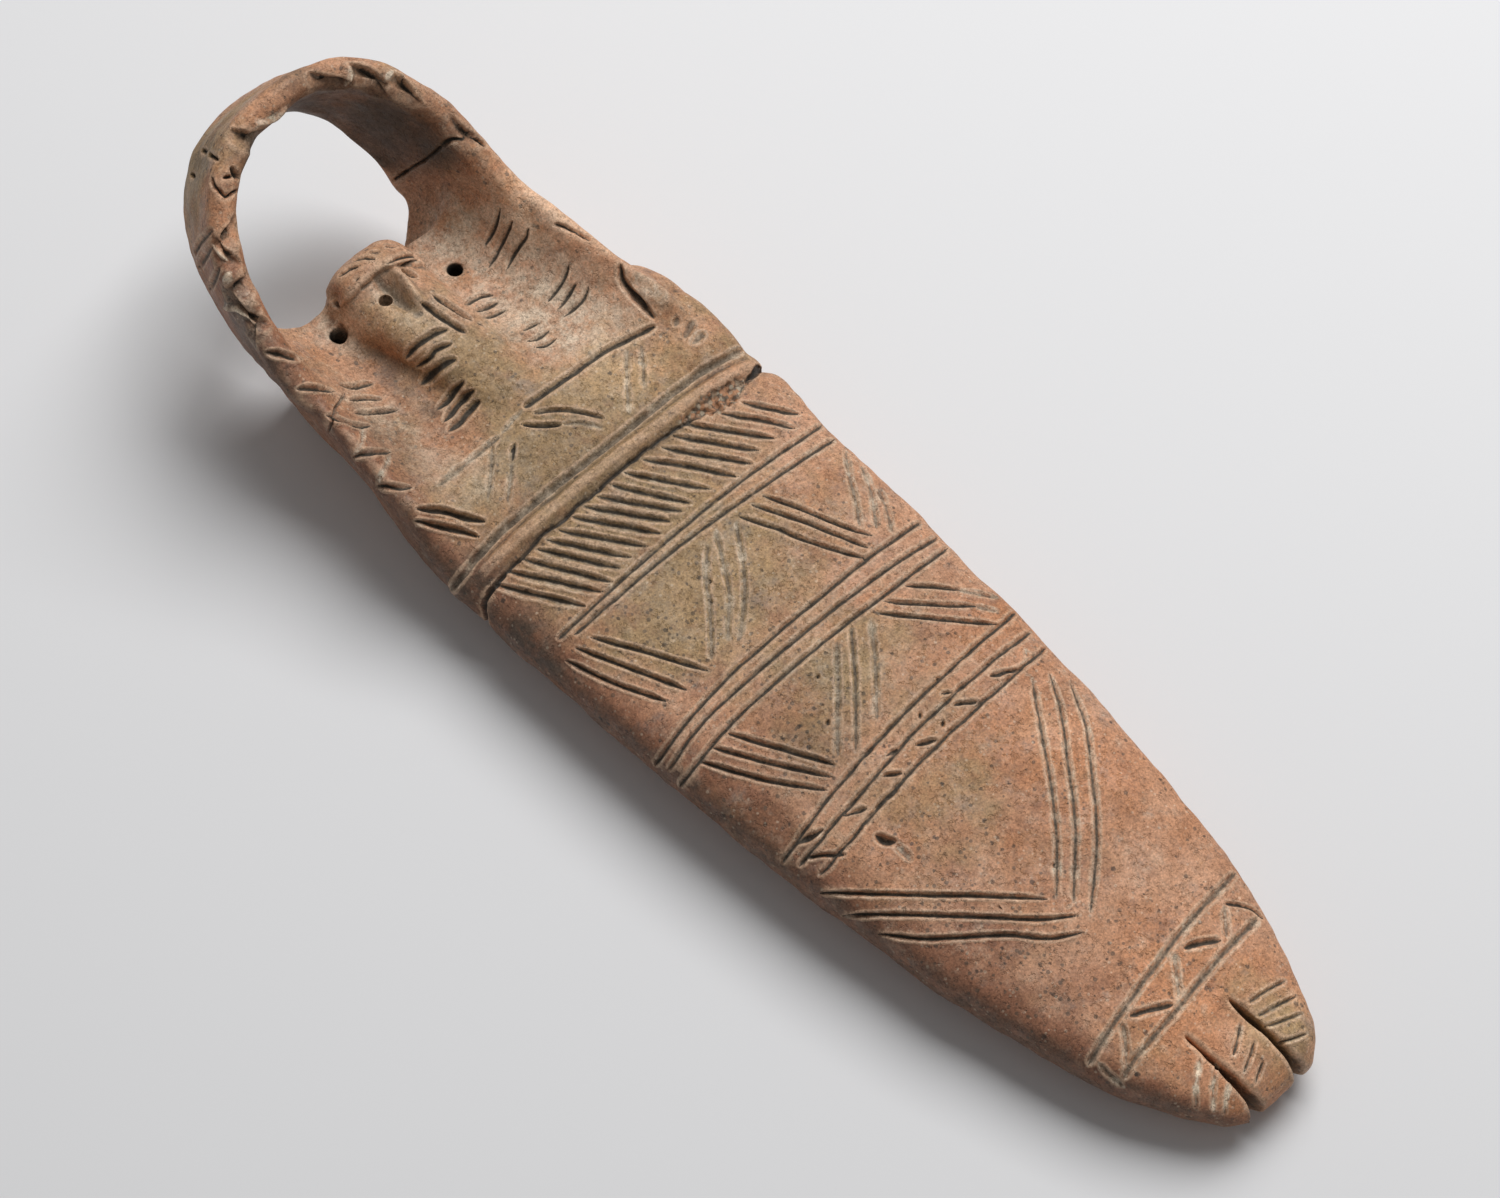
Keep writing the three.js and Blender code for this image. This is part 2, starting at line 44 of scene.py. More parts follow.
# Camera: a long lens high over the near side of the foot, looking down along the figurine to
# its hood. It stands at the eye's place in the frame, in metres.
EYE = Vector((0.2111, -0.20685, 0.56615))
VIEW_TURN = math.radians(45.4)
VIEW_DROP = math.radians(62)
camera_data = bpy.data.cameras.new("camera")
camera_data.lens = 86.4
camera_data.sensor_width = 36
camera = bpy.data.objects.new("camera", camera_data)
facing = Euler((math.pi / 2 - VIEW_DROP, 0, VIEW_TURN)).to_matrix().to_4x4()
camera.matrix_world = Matrix.Translation(EYE) @ facing
scene.collection.objects.link(camera)
scene.camera = camera


# The carrying board: a slab of red clay, modelled by hand, that narrows to three toes. It is
# worked out in millimetres from the mended break at the waist, with the head end at minus x.
# [x, value] stations give its half width, its middle, its thickness and the rise of its underside.
HEAD_END = -61.5
TOE_END = 157.0
WIDEST_SHARE = 0.6
TOP_ROUNDING = 3
BASE_ROUNDING = 2.5
BASE_FLATTENING = 1.4
HALF_WIDTHS = [
    [-62, 27], [-49.5, 29.6], [-36, 31.6], [-22, 33.3], [-8, 34.2], [0, 34.8], [20, 34.2],
    [45, 33.1], [71, 31.3], [98, 28.4], [117, 25], [135, 20.1], [147, 15.1], [151, 12.9],
    [154, 10.8], [156.4, 7.6],
]
CENTRES = [
    [-62, -2.9], [-49.5, -2.2], [-30, -1], [-10, 0.7], [0, 2], [20, 1.3], [45, 1.1], [135, 1.6],
    [147, 1.9], [156.4, 2.4],
]
THICKNESSES = [
    [-62, 18.5], [-40, 19], [-18, 20], [20, 20], [80, 19], [125, 16.5], [148, 13.5], [159, 10],
]
BASE_RISES = [[-62, 0], [118, 0], [140, 0.8], [159, 3.6]]
WALL_FOOT = 13
WALL_EDGE = 0.86
RIM_SLOPE = 0.18
RIM_START = -48.9
RIM_HEIGHT = 29.3
HOOD_THICKNESS = 5.4


def along(stations, x):
    """Smooth value at x between [x, value] stations: cubic pieces whose slope at a station is
    the harmonic mean of the two chords there, and zero at a turning point."""
    xs, ys = np.array(stations, float).T
    chord = np.diff(ys) / np.diff(xs)
    before, after = chord[:-1], chord[1:]
    agree = before * after > 0
    inner = np.where(agree, 2 * before * after / np.where(agree, before + after, 1), 0)
    slope = np.concatenate([chord[:1], inner, chord[-1:]])
    x = np.clip(x, xs[0], xs[-1])
    i = np.clip(np.searchsorted(xs, x, side="right") - 1, 0, len(xs) - 2)
    span = xs[i + 1] - xs[i]
    t = (x - xs[i]) / span
    return (
        (2 * t**3 - 3 * t**2 + 1) * ys[i]
        + (t**3 - 2 * t**2 + t) * span * slope[i]
        + (3 * t**2 - 2 * t**3) * ys[i + 1]
        + (t**3 - t**2) * span * slope[i + 1]
    )


def eased(value, low, high):
    """0 below low, 1 above high, and 3t^2 - 2t^3 between them."""
    t = np.clip((value - low) / (high - low), 0, 1)
    return t * t * (3 - 2 * t)


def top_height(x, y):
    """Height of the board's upper face: a slab with rounded edges, plus the side walls, which
    sweep up from it as the square of the way out and grow along x towards the head."""
    half = along(HALF_WIDTHS, x)
    across = np.clip(np.abs(y - along(CENTRES, x)) / half, 0, 1)
    thickness = along(THICKNESSES, x)
    widest = WIDEST_SHARE * thickness
    slab = (thickness - widest) * (1 - across**TOP_ROUNDING) ** (1 / TOP_ROUNDING)
    reach = (across * half - WALL_FOOT) / (half - HOOD_THICKNESS / 2 - WALL_FOOT)
    edge = np.clip(across - WALL_EDGE, 0, None) / (1 - WALL_EDGE)
    wall = np.clip(reach, 0, 1) ** 2 * (1 - edge**4) ** 0.25
    growth = eased(-x, 5, 20)
    rim = RIM_HEIGHT - RIM_SLOPE * np.clip(x - RIM_START, 0, None)
    return widest + slab + ((thickness - widest - slab) + rim - thickness) * wall * growth


def base_height(x, y):
    """Height of the board's underside: nearly flat, rounded up to the widest line."""
    half = along(HALF_WIDTHS, x)
    across = np.clip(np.abs(y - along(CENTRES, x)) / half, 0, 1)
    widest = WIDEST_SHARE * along(THICKNESSES, x)
    rise = along(BASE_RISES, x)
    depth = (widest - rise + BASE_FLATTENING) * (1 - across**BASE_ROUNDING) ** (1 / BASE_ROUNDING)
    return np.maximum(widest - depth, rise)


def shell(rings):
    """A closed skin over rings of points, given as rings x points x 3, with a fan at each end to
    the end ring's middle. Its faces are turned outwards by the sign of its volume."""
    rows, count = rings.shape[:2]
    row, k = np.meshgrid(np.arange(rows - 1) * count, np.arange(count), indexing="ij")
    a, b = (row + k).ravel(), (row + (k + 1) % count).ravel()
    sides = np.concatenate([np.c_[a, b, b + count], np.c_[a, b + count, a + count]])
    k = np.arange(count)
    ahead, last = (k + 1) % count, (rows - 1) * count
    first_fan = np.c_[np.full(count, rows * count), ahead, k]
    last_fan = np.c_[np.full(count, rows * count + 1), last + k, last + ahead]
    points = np.concatenate([rings.reshape(-1, 3), rings[:1].mean(1), rings[-1:].mean(1)])
    faces = np.concatenate([sides, first_fan, last_fan])
    p, q, r = points[faces[:, 0]], points[faces[:, 1]], points[faces[:, 2]]
    volume = np.einsum("ij,ij->i", p, np.cross(q, r)).sum()
    return points, faces if volume > 0 else faces[:, ::-1]


def board_rings():
    """Rings round the slab at steps of x. The walls' outer sides lean in towards the base near
    the head, and the toe end is rounded by shrinking the last rings towards mid height."""
    TUCK = 0.2
    END_ROUNDING = 7.0
    END_POWER = 2.6
    FINE_END = 6.0
    closer_steps = TOE_END - FINE_END * np.cos(np.linspace(0, 1.5, 16))
    x = np.concatenate([np.arange(HEAD_END, TOE_END - FINE_END, 1.0), closer_steps])[:, None]
    turn = np.radians(np.linspace(-90, 90, 73))[None, :]
    middle, half = along(CENTRES, x), along(HALF_WIDTHS, x)
    top_y, base_y = middle + half * np.sin(turn), middle + half * np.sin(-turn[:, 1:-1])
    y = np.concatenate([top_y, base_y], axis=1)
    z = np.concatenate([top_height(x, top_y), base_height(x, base_y)], axis=1)
    y = middle + (y - middle) * (1 - TUCK * eased(-x, 5, 38) * (1 - np.clip(z / RIM_HEIGHT, 0, 1)))
    end = np.clip((x - (TOE_END - END_ROUNDING)) / END_ROUNDING, 0, 0.999)
    shrink = (1 - end**END_POWER) ** (1 / END_POWER)
    level = 0.45 * along(THICKNESSES, x)
    z = level + (z - level) * shrink
    return np.stack(np.broadcast_arrays(x, y, z), axis=-1)


# The hood: a band of the same clay drawn up from the walls and over the head, open at the back.
# Its front rim and its oval back edge each have the middle of the foot, a length up the lean, a
# half width, a lean in degrees, the power of the oval and a skew.
RIM = {"x": RIM_START, "y": -3, "z": RIM_HEIGHT, "length": 39.5, "half": 27.3, "lean": 35.7,
       "power": 2.4, "skew": -0.08}
OVAL = {"x": -71.2, "y": -4.2, "z": 14.8, "length": 28.3, "half": 20.4, "lean": 34.5,
        "power": 2.65, "skew": -0.11}
OVAL_LIFT = 2.5
OVAL_RETURN = 10.6
OVAL_RETURN_RISE = 2.2
RIM_SPREAD = 0.12
RIM_LEG = 14
RETURN_ANGLE = 60


def squared(value, power):
    """A signed power, which turns a circle's sine or cosine into a squarer oval's."""
    return np.sign(value) * np.abs(value) ** (2 / power)


def rim_point(angle, offset):
    """Front rim: an oval arch in a leaning plane, run straight on along the walls at both feet."""
    held = np.radians(np.clip(angle, 0, 180))
    out = (RIM["length"] + offset) * squared(np.clip(np.sin(held), 0, 1), RIM["power"])
    side = (RIM["half"] + offset) * squared(np.cos(held), RIM["power"])
    leg = RIM_LEG * np.maximum(np.maximum(-angle, angle - 180), 0) / RETURN_ANGLE
    lean = math.radians(RIM["lean"])
    return np.stack([
        RIM["x"] - out * math.cos(lean) + leg + RIM["skew"] * side,
        RIM["y"] + side + np.sign(side) * RIM_SPREAD * leg,
        RIM["z"] + out * math.sin(lean) - RIM_SLOPE * leg,
    ], axis=-1)


def oval_point(angle, offset):
    """Back edge: an oval whose far part leans up with the hood and whose near part lies level."""
    a = np.radians(angle)
    arch = np.sin(a) >= 0
    out = (np.where(arch, OVAL["length"], OVAL_RETURN) + offset) * squared(np.sin(a), OVAL["power"])
    side = (OVAL["half"] + offset) * squared(np.cos(a), OVAL["power"])
    lean = np.where(arch, math.radians(OVAL["lean"]), 0)
    arched = out * np.sin(lean) + OVAL_LIFT * np.sin(a) ** 3
    rise = np.where(arch, arched, -out * OVAL_RETURN_RISE / OVAL_RETURN)
    return np.stack([
        OVAL["x"] - out * np.cos(lean) + OVAL["skew"] * side,
        OVAL["y"] + side,
        OVAL["z"] + rise,
    ], axis=-1)


def hood_point(angle, share, side):
    """A point of the band: share 0 at the back edge and 1 at the rim, side -1 inside, 1 outside."""
    angle, share, side = np.broadcast_arrays(angle, share, side)
    offset = side * HOOD_THICKNESS / 2
    near, far = rim_point(angle, offset), oval_point(angle, offset)
    return far + (near - far) * share[..., None]


def hood_rings():
    """Rings round the band's section from the right wall over to the left. Past the arch both
    ends dive into the board and draw in towards its middle."""
    corners = np.array([
        [0, -0.5], [0, 0.5], [0.08, 1], [0.93, 1], [1, 0.5], [1, -0.5], [0.93, -1], [0.08, -1]])
    steps = [2, 2, 26, 2, 3, 2, 26, 2]
    DRAWN_IN, DIVE_DEPTH = 0.2, 8
    section = np.concatenate([
        a + (b - a) * np.linspace(0, 1, n, endpoint=False)[:, None]
        for a, b, n in zip(corners, np.roll(corners, -1, axis=0), steps)
    ])
    angle = np.linspace(-RETURN_ANGLE, 180 + RETURN_ANGLE, 181)[:, None]
    points = hood_point(angle, section[None, :, 0], section[None, :, 1])
    dive = eased(np.maximum(-angle, angle - 180), 5, RETURN_ANGLE)
    points[..., 1] += DRAWN_IN * dive * (RIM["y"] - points[..., 1])
    points[..., 2] -= DIVE_DEPTH * dive
    return points


# The swaddled figure: a head and chest in one ridge of clay in the trough, a pinched nose, a
# rolled lobe on the right shoulder and a small swelling at the left one.
FIGURE_MIDDLES = [[-64, -4.6], [-50, -3.8], [-38, -2.2], [-20, -1]]
FIGURE_WIDTHS = [
    [-64.2, 5], [-63, 7.6], [-60, 9.6], [-52, 9.8], [-44, 8.8], [-34, 8.4], [-20, 6.5],
]
FIGURE_CRESTS = [
    [-64.2, 18.5], [-63, 23], [-60, 26.6], [-57, 27], [-55.2, 25.6], [-52, 24.8],
    [-44, 24.4], [-34, 22.6], [-24, 20.6], [-20, 19.4],
]
FIGURE_BED = 16
FIGURE_DEPTH = 7


def figure_rings():
    """Rings across the ridge: squarish ovals whose upper half follows the crest."""
    x = np.linspace(-64.2, -20, 64)[:, None]
    turn = np.linspace(0, 2 * math.pi, 60, endpoint=False)[None, :]
    up = np.where(np.sin(turn) > 0, along(FIGURE_CRESTS, x) - FIGURE_BED, FIGURE_DEPTH)
    y = along(FIGURE_MIDDLES, x) + along(FIGURE_WIDTHS, x) * squared(np.cos(turn), 2.4)
    z = FIGURE_BED + up * squared(np.sin(turn), 2.4)
    return np.stack(np.broadcast_arrays(x, y, z), axis=-1)


def lump_rings(centre, half_sizes, power=2.0, turn=0.0, pitch=0.0):
    """A sphere swollen towards a box by its power, drawn out to three half sizes, then pitched
    and turned."""
    down = np.linspace(0.03, math.pi - 0.03, 32)[:, None]
    round_ = np.linspace(0, 2 * math.pi, 48, endpoint=False)[None, :]
    ball = np.stack(np.broadcast_arrays(
        np.sin(down) * np.cos(round_), np.sin(down) * np.sin(round_), np.cos(down)), axis=-1)
    ball = ball / (np.abs(ball) ** power).sum(-1, keepdims=True) ** (1 / power)
    turned, pitched = math.radians(turn), math.radians(pitch)
    tilt = Matrix.Rotation(turned, 3, "Z") @ Matrix.Rotation(pitched, 3, "Y")
    return np.array(centre) + (ball * half_sizes) @ np.array(tilt).T


SLIT_OVERRUN = 3


def slit_rings(from_x, from_y, to_y):
    """A wedge that parts two toes: narrow and shallow where it starts, deep and flared where it
    leaves the end."""
    to_x = TOE_END + SLIT_OVERRUN
    t = np.array([0, 0.15, 0.4, 0.7, 0.82, 0.9, 1.0])[:, None]
    half = np.interp(t, [0, 0.15, 0.6, 0.76, 0.86, 1], [0.3, 0.7, 1.0, 1.4, 2.4, 4.4])
    depth = np.interp(t, [0, 0.4, 0.8, 1], [1.6, 6.5, 9, 12])
    x, y = from_x + (to_x - from_x) * t, from_y + (to_y - from_y) * t
    low = along(THICKNESSES, x) - depth
    across = np.array([[-1, -0.55, 0.55, 1]])
    z = np.where(np.abs(across) < 1, low, 22)
    return np.stack(np.broadcast_arrays(x, y + across * half, z), axis=-1)


def drill_rings(x, y, radius, low, high, lean=0.0):
    """A round hole from low to high, leaning along x by so much a millimetre."""
    turn = np.linspace(0, 2 * math.pi, 24, endpoint=False)[None, :]
    z = np.array([[low], [high]])
    x, y = x + lean * (z - low) + radius * np.cos(turn), y + radius * np.sin(turn)
    return np.stack(np.broadcast_arrays(x, y, z), axis=-1)


# The pieces of clay are pressed into one and cut open: every shell goes into one mesh, a voxel
# pass makes it one skin, the slits and holes are taken out and a finer pass closes it again.
MM = 0.001
WAIST = np.array([30.59, 2.35, 0.0])
COARSE_VOXEL = 0.6 * MM
FINE_VOXEL = 0.29 * MM


def shells_object(name, shells):
    """One object of several closed shells, carried from the waist to the frame, in metres."""
    starts = np.cumsum([0] + [len(points) for points, _ in shells[:-1]])
    points = np.concatenate([p for p, _ in shells])
    faces = np.concatenate([f + start for (_, f), start in zip(shells, starts)])
    mesh = bpy.data.meshes.new(name)
    mesh.from_pydata(((points - WAIST) * MM).tolist(), [], faces.tolist())
    obj = bpy.data.objects.new(name, mesh)
    scene.collection.objects.link(obj)
    return obj


def settle(obj):
    """Replaces the mesh by what the modifiers make of it, and takes them off."""
    graph = bpy.context.evaluated_depsgraph_get()
    made = bpy.data.meshes.new_from_object(
        obj.evaluated_get(graph), preserve_all_data_layers=True, depsgraph=graph)
    old = obj.data
    obj.modifiers.clear()
    obj.data = made
    bpy.data.meshes.remove(old)


HOLES = [(-51.4, 9.4, 1.45), (-55.6, -15, 1.6)]
SLITS = [(139.6, 5.1, 6.6), (138.0, -4.9, -3.2)]
figurine = shells_object("figurine_clay", [
    shell(board_rings()),
    shell(hood_rings()),
    shell(figure_rings()),
    shell(lump_rings([-15.4, 28.8, 13], [17.2, 8.2, 7], power=2.9)),
    shell(lump_rings([-4.5, -28.4, 13], [6, 5.6, 4.6])),
    shell(lump_rings([-22.4, 29.2, 18.6], [7.0, 3.7, 5.2], power=2.3, turn=6, pitch=15)),
])
cutters = shells_object("cutters", [
    *(shell(slit_rings(*slit)) for slit in SLITS),
    shell(drill_rings(-52.3, -6.4, 0.9, 21.5, 34, lean=0.1)),
    *(shell(drill_rings(x, y, radius, -4, 30)) for x, y, radius in HOLES),
])
pressed = figurine.modifiers.new("pressed", "REMESH")
pressed.mode, pressed.voxel_size = "VOXEL", COARSE_VOXEL
opened = figurine.modifiers.new("opened", "BOOLEAN")
opened.operation, opened.solver, opened.object = "DIFFERENCE", "EXACT", cutters
closed = figurine.modifiers.new("closed", "REMESH")
closed.mode, closed.voxel_size = "VOXEL", FINE_VOXEL
settle(figurine)
bpy.data.objects.remove(cutters)

mesh = figurine.data
count = len(mesh.vertices)
flat = np.empty(count * 3, np.float32)
mesh.vertices.foreach_get("co", flat)
points = flat.reshape(-1, 3).astype(float) / MM + WAIST
edges = np.empty(len(mesh.edges) * 2, np.int32)
mesh.edges.foreach_get("vertices", edges)
edges = edges.reshape(-1, 2)


def neighbour_mean(values, pairs=edges):
    """The mean of the values at each point's neighbours along those edges."""
    first, second = pairs.T
    total = np.bincount(first, minlength=count) + np.bincount(second, minlength=count)
    columns = values.reshape(count, -1).T
    sums = [np.bincount(first, column[second], count) + np.bincount(second, column[first], count)
            for column in columns]
    return (np.array(sums) / np.maximum(total, 1)).T.reshape(values.shape)


def normals():
    """The mesh's outward directions once it has taken the points."""
    mesh.vertices.foreach_set("co", ((points - WAIST) * MM).astype(np.float32).ravel())
    mesh.update()
    out = np.empty(count * 3, np.float32)
    mesh.vertex_normals.foreach_get("vector", out)
    return out.reshape(-1, 3).astype(float)


def spots(*rows):
    """The sum of soft spots on the skin. A row gives a spot's strength, its centre and its three
    reaches, and the spot fades as the exponential of minus the squared distance over them."""
    total = np.zeros(count)
    for strength, *spread in rows:
        total += strength * np.exp(-(((points - spread[:3]) / spread[3:]) ** 2).sum(1))
    return total


for _ in range(10):
    points += 0.5 * (neighbour_mean(points) - points)

# Where the hood's right leg runs into the inner wall a thumb has smoothed the fold away.
FOLD = [[1, -66, 20, 22, 5, 5, 8], [1, -62, 14.5, 25, 4.5, 5, 8], [1, -59, 9, 26, 3, 3.5, 6]]
share = np.max([spots(row) for row in FOLD], axis=0)
share[share < 0.03] = 0
fold_edges = edges[share[edges].max(1) > 0]
for _ in range(140):
    points += 0.7 * share[:, None] * (neighbour_mean(points, fold_edges) - points)

# Soft forms that the fingers pressed up or in before the clay was dry, each a spot on the skin
# whose strength is its height: the nose, the eyes' hollows, the ears, the shoulders and the wall.
SWELLS = [
    [1.9, -53.6, -1.3, 26, 2.4, 1, 4], [2.3, -50.8, -1.9, 26, 2.4, 1, 4],
    [1.9, -48.2, -2.5, 25, 1.6, 1.1, 4], [-1.7, -51.6, -4.7, 26, 3.8, 1.2, 4],
    [-0.7, -45.6, -3, 25, 1, 2, 4], [-0.5, -53.4, 2.4, 26, 2.2, 1.6, 4],
    [0.6, -47.6, -8.4, 24, 5, 3.2, 5], [-1.9, -59.9, -11.7, 20, 1.6, 1.2, 5],
    [-1, -57.8, -12.8, 20, 2.2, 1.8, 5], [-0.7, -33, -11.6, 19, 9, 3.4, 4],
    [-0.6, -43, -13, 19, 7, 3.4, 4], [-0.6, -13, 29.5, 19, 3.4, 4, 6],
    [0.6, -8, -30.6, 14, 4, 3, 5], [1.2, -43, 25.5, 26, 13, 3.2, 5],
]
BROW = [[-13, -58.2], [-10.2, -56.3], [-4.8, -56.2], [-0.6, -55.8], [3.6, -54.4], [8, -52.6]]
CROWN_RISE = 0.95
BELT = [[-34, -2.0], [-15, -1.9], [0, -1.7], [13, -1.2], [22, -0.8], [31, 0.0], [36, 0.6]]
BELT_RISE = 1.15
CHEST_END = -12


def mottle(where, size, seed, waves=26):
    """A soft random field from about -1 to 1: the scaled sum of plane waves in random
    directions, with lengths spread round the given size."""
    random = np.random.default_rng(seed)
    heading = random.normal(size=(waves, 3))
    heading /= np.linalg.norm(heading, axis=1, keepdims=True)
    pace = 2 * math.pi / (size * random.uniform(0.65, 1.6, waves))
    phase = random.uniform(0, 2 * math.pi, waves)
    total = np.zeros(len(where))
    for direction, rate, start in zip(heading, pace, phase):
        total += np.sin(where @ direction * rate + start)
    return total / math.sqrt(waves / 2) / 1.6


def bell(value, middle, reach):
    """1 at the middle, fading as the exponential of minus the squared distance over the reach."""
    return np.exp(-(((value - middle) / reach) ** 2))


outward = normals()
x, y, z = points.T
before_brow = along(BROW, y) - x
on_crown = (z > 21) * np.exp(-(((y + 3) / 9.5) ** 6)) * eased(x, -66, -63)
lift = spots(*SWELLS) + CROWN_RISE * on_crown * eased(before_brow, -0.45, 0.45)
lift += 0.28 * mottle(points, 26, 1) + 0.13 * mottle(points, 9, 2) + 0.05 * mottle(points, 3.2, 3)
past_belt = x - along(BELT, y)
from_middle = (y - along(CENTRES, x)) / along(HALF_WIDTHS, x)
on_board = (x > CHEST_END) * eased(z, 6, 12) * (1 - eased(np.abs(from_middle), 0.86, 0.98))
lift += on_board * BELT_RISE * np.exp(-((np.abs(past_belt) / 1.45) ** 3))
lift -= on_board * (0.6 * bell(past_belt, -4.2, 2.4) + 0.35 * bell(past_belt, 3, 1.3))
points += outward * lift[:, None]
outward = normals()

# The incised lines: cut with a stylus in the damp clay, deepest along the middle, with a low lip of
# pushed clay on both sides. Each is a run of places where the line of sight from the eye crosses a
# level 20 mm up, in tenths of a millimetre from the waist, and it is cut where that sight
# meets the skin. Dark says how dark its middle is painted, as stain and as painted shade of the
# cut, lime how chalky, lip how far the clay is pushed up beside it, ragged how uneven it is, blunt
# how short its ends are.
EYE_MM = np.array(EYE) / MM + WAIST
SIGHT_HEIGHT = 20
DRAWING_STEP = 0.5
LONGEST_STEP = 3.0
STAIN_AND_SHADE_SHARE = 0.74
random = np.random.default_rng(11)
skin = BVHTree.FromObject(figurine, bpy.context.evaluated_depsgraph_get())
cut = np.zeros(count)
raised = np.zeros(count)
groove_stain_and_shade = np.zeros(count)
nearest = np.full(count, 9.0)
pale = np.zeros(count)
lip_height = np.zeros(count)
by_x = np.argsort(x)
sorted_x = x[by_x]


def ripple(distance, size):
    """A random wave from about -1 to 1 along a distance: three sines near the given length."""
    pace = 2 * math.pi / (size * random.uniform(0.6, 1.7, 3))
    return np.sin(distance[:, None] * pace + random.uniform(0, 6.28, 3)).mean(1) * 1.4


def landed(plan):
    """Where the sight from the eye through each plan point meets the skin."""
    found = []
    for x, y in plan:
        heading = Vector(np.array([x, y, SIGHT_HEIGHT]) - EYE_MM).normalized()
        hit = skin.ray_cast(EYE, heading)[0]
        if hit is not None:
            found.append(np.array(hit) / MM + WAIST)
    return np.array(found)


def carve(course, width, depth, dark, lime, lip, ragged, blunt, flank, sloped):
    """Cuts along a course of skin points, or raises it where the depth is negative. Across it the
    depth falls as 1 - q^flank, with q the distance over half the width, or over the sloped length
    on the course's right; both ends taper over the blunt length, and width and depth waver."""
    if len(course) < 2:
        return
    reach = np.concatenate([[0], np.cumsum(np.linalg.norm(np.diff(course, axis=0), axis=1))])
    taper = np.clip(np.minimum(reach, reach[-1] - reach) / blunt, 0, 1) ** 0.6
    half = width / 2 * (1 + 0.12 * ragged * ripple(reach, 4.5)) * (0.3 + 0.7 * taper)
    deep = depth * (1 + 0.16 * ragged * ripple(reach, 5)) * (0.1 + 0.9 * taper)
    lime_here = lime * (1 + 0.6 * ripple(reach, 5.0))
    for i in range(len(course) - 1):
        a, b = course[i], course[i + 1]
        ahead = b - a
        if np.linalg.norm(ahead) > LONGEST_STEP:
            continue
        margin = max(width * 1.6, sloped * 1.2)
        lo, hi = np.searchsorted(sorted_x, [min(a[0], b[0]) - margin, max(a[0], b[0]) + margin])
        index = by_x[lo:hi]
        near = points[index]
        box = (np.abs(near[:, 1] - (a[1] + b[1]) / 2) < abs(a[1] - b[1]) / 2 + margin) & (
            np.abs(near[:, 2] - (a[2] + b[2]) / 2) < abs(a[2] - b[2]) / 2 + margin)
        index, near = index[box], near[box]
        t = np.clip((near - a) @ ahead / max(ahead @ ahead, 1e-9), 0, 1)
        off = near - a - t[:, None] * ahead
        half_here = half[i] + (half[i + 1] - half[i]) * t
        across = np.linalg.norm(off, axis=1)
        # The dark down the middle of a line is stain and painted shade of the cut together.
        stain_and_shade_here = dark * np.clip(1 - (across / (STAIN_AND_SHADE_SHARE * half_here)) ** 2, 0, 1)
        if sloped:
            right = (np.cross(ahead, off) * outward[index]).sum(1) < 0
            half_here = np.where(right, half_here * 2 * sloped / width, half_here)
        q = across / half_here
        share = np.clip(1 - np.clip(q, 0, 1) ** flank, 0, 1)
        here = share * (deep[i] + (deep[i + 1] - deep[i]) * t)
        cut[index] = np.maximum(cut[index], here)
        raised[index] = np.maximum(raised[index], -here)
        groove_stain_and_shade[index] = np.maximum(groove_stain_and_shade[index], stain_and_shade_here)
        closer = q < nearest[index]
        nearest[index[closer]] = q[closer]
        pale[index[closer]] = lime_here[i]
        lip_height[index[closer]] = lip


def incise(*plans, width=1.1, depth=0.8, dark=1.0, lime=0.5, lip=0.1, ragged=0.6, blunt=1.2,
           flank=1.5, wobble=0.03, sloped=0.0, over=0.0):
    """Draws a smooth line through each plan, a row of x, y, x, y and so on, run on over both ends
    by that much, with a hand's slight wobble, and carves it. Long plans have each inner point
    drawn half way to the middle of its neighbours."""
    for plan in plans:
        plan = np.reshape(plan, (-1, 2)) / 10
        if len(plan) > 6:
            plan[1:-1] = 0.5 * plan[1:-1] + 0.25 * (plan[:-2] + plan[2:])
        if over:
            first, last = plan[0] - plan[1], plan[-1] - plan[-2]
            first, last = first / np.hypot(*first), last / np.hypot(*last)
            plan = np.concatenate([[plan[0] + over * first], plan, [plan[-1] + over * last]])
        chord = np.concatenate([[0], np.cumsum(np.hypot(*np.diff(plan, axis=0).T))])
        t = np.linspace(0, chord[-1], max(int(chord[-1] / DRAWING_STEP), 3) + 1)
        course = np.stack([along(np.c_[chord, plan[:, k]], t) for k in (0, 1)], axis=1)
        heading = np.gradient(course, axis=0)
        heading /= np.linalg.norm(heading, axis=1, keepdims=True)
        off = wobble * (ripple(t, 9) + 0.5 * ripple(t, 3.5))
        course += off[:, None] * np.c_[-heading[:, 1], heading[:, 0]]
        carve(landed(course), width, depth, dark, lime, lip, ragged, blunt, flank, sloped)


# The bands that bind the swaddling: one over the belt, a pair under the hatching, three above the
# knees, three rough ones across them and two broad flat ones at the ankles.
incise(
    [-20, 339, -30, 293, -39, 252, -43, 206, -43, 59, -46, -34, -51, -125, -52, -220, -43, -275,
     -29, -342], width=1.7, depth=1.1, dark=0.55, lime=0.7, over=2)
incise(
    [190, 319, 180, 235, 171, 169, 169, 98, 165, 6, 166, -92, 167, -188, 173, -276],
    [227, 324, 214, 250, 205, 161, 196, 72, 187, -17, 184, -109, 187, -207, 187, -250],
    width=1.15, depth=0.7, dark=0.9, lime=0.8, over=2)
incise(
    [447, 292, 438, 235, 433, 173, 433, 85, 427, -15, 428, -113, 432, -204, 448, -283, 458, -323],
    [490, 301, 477, 252, 470, 158, 462, 73, 459, -8, 457, -103, 457, -207, 463, -255, 480, -314],
    [518, 304, 511, 261, 511, 200, 501, 117, 495, 45, 495, -37, 491, -136, 497, -234, 516, -321],
    depth=0.75, dark=0.95, lime=0.7, over=2)
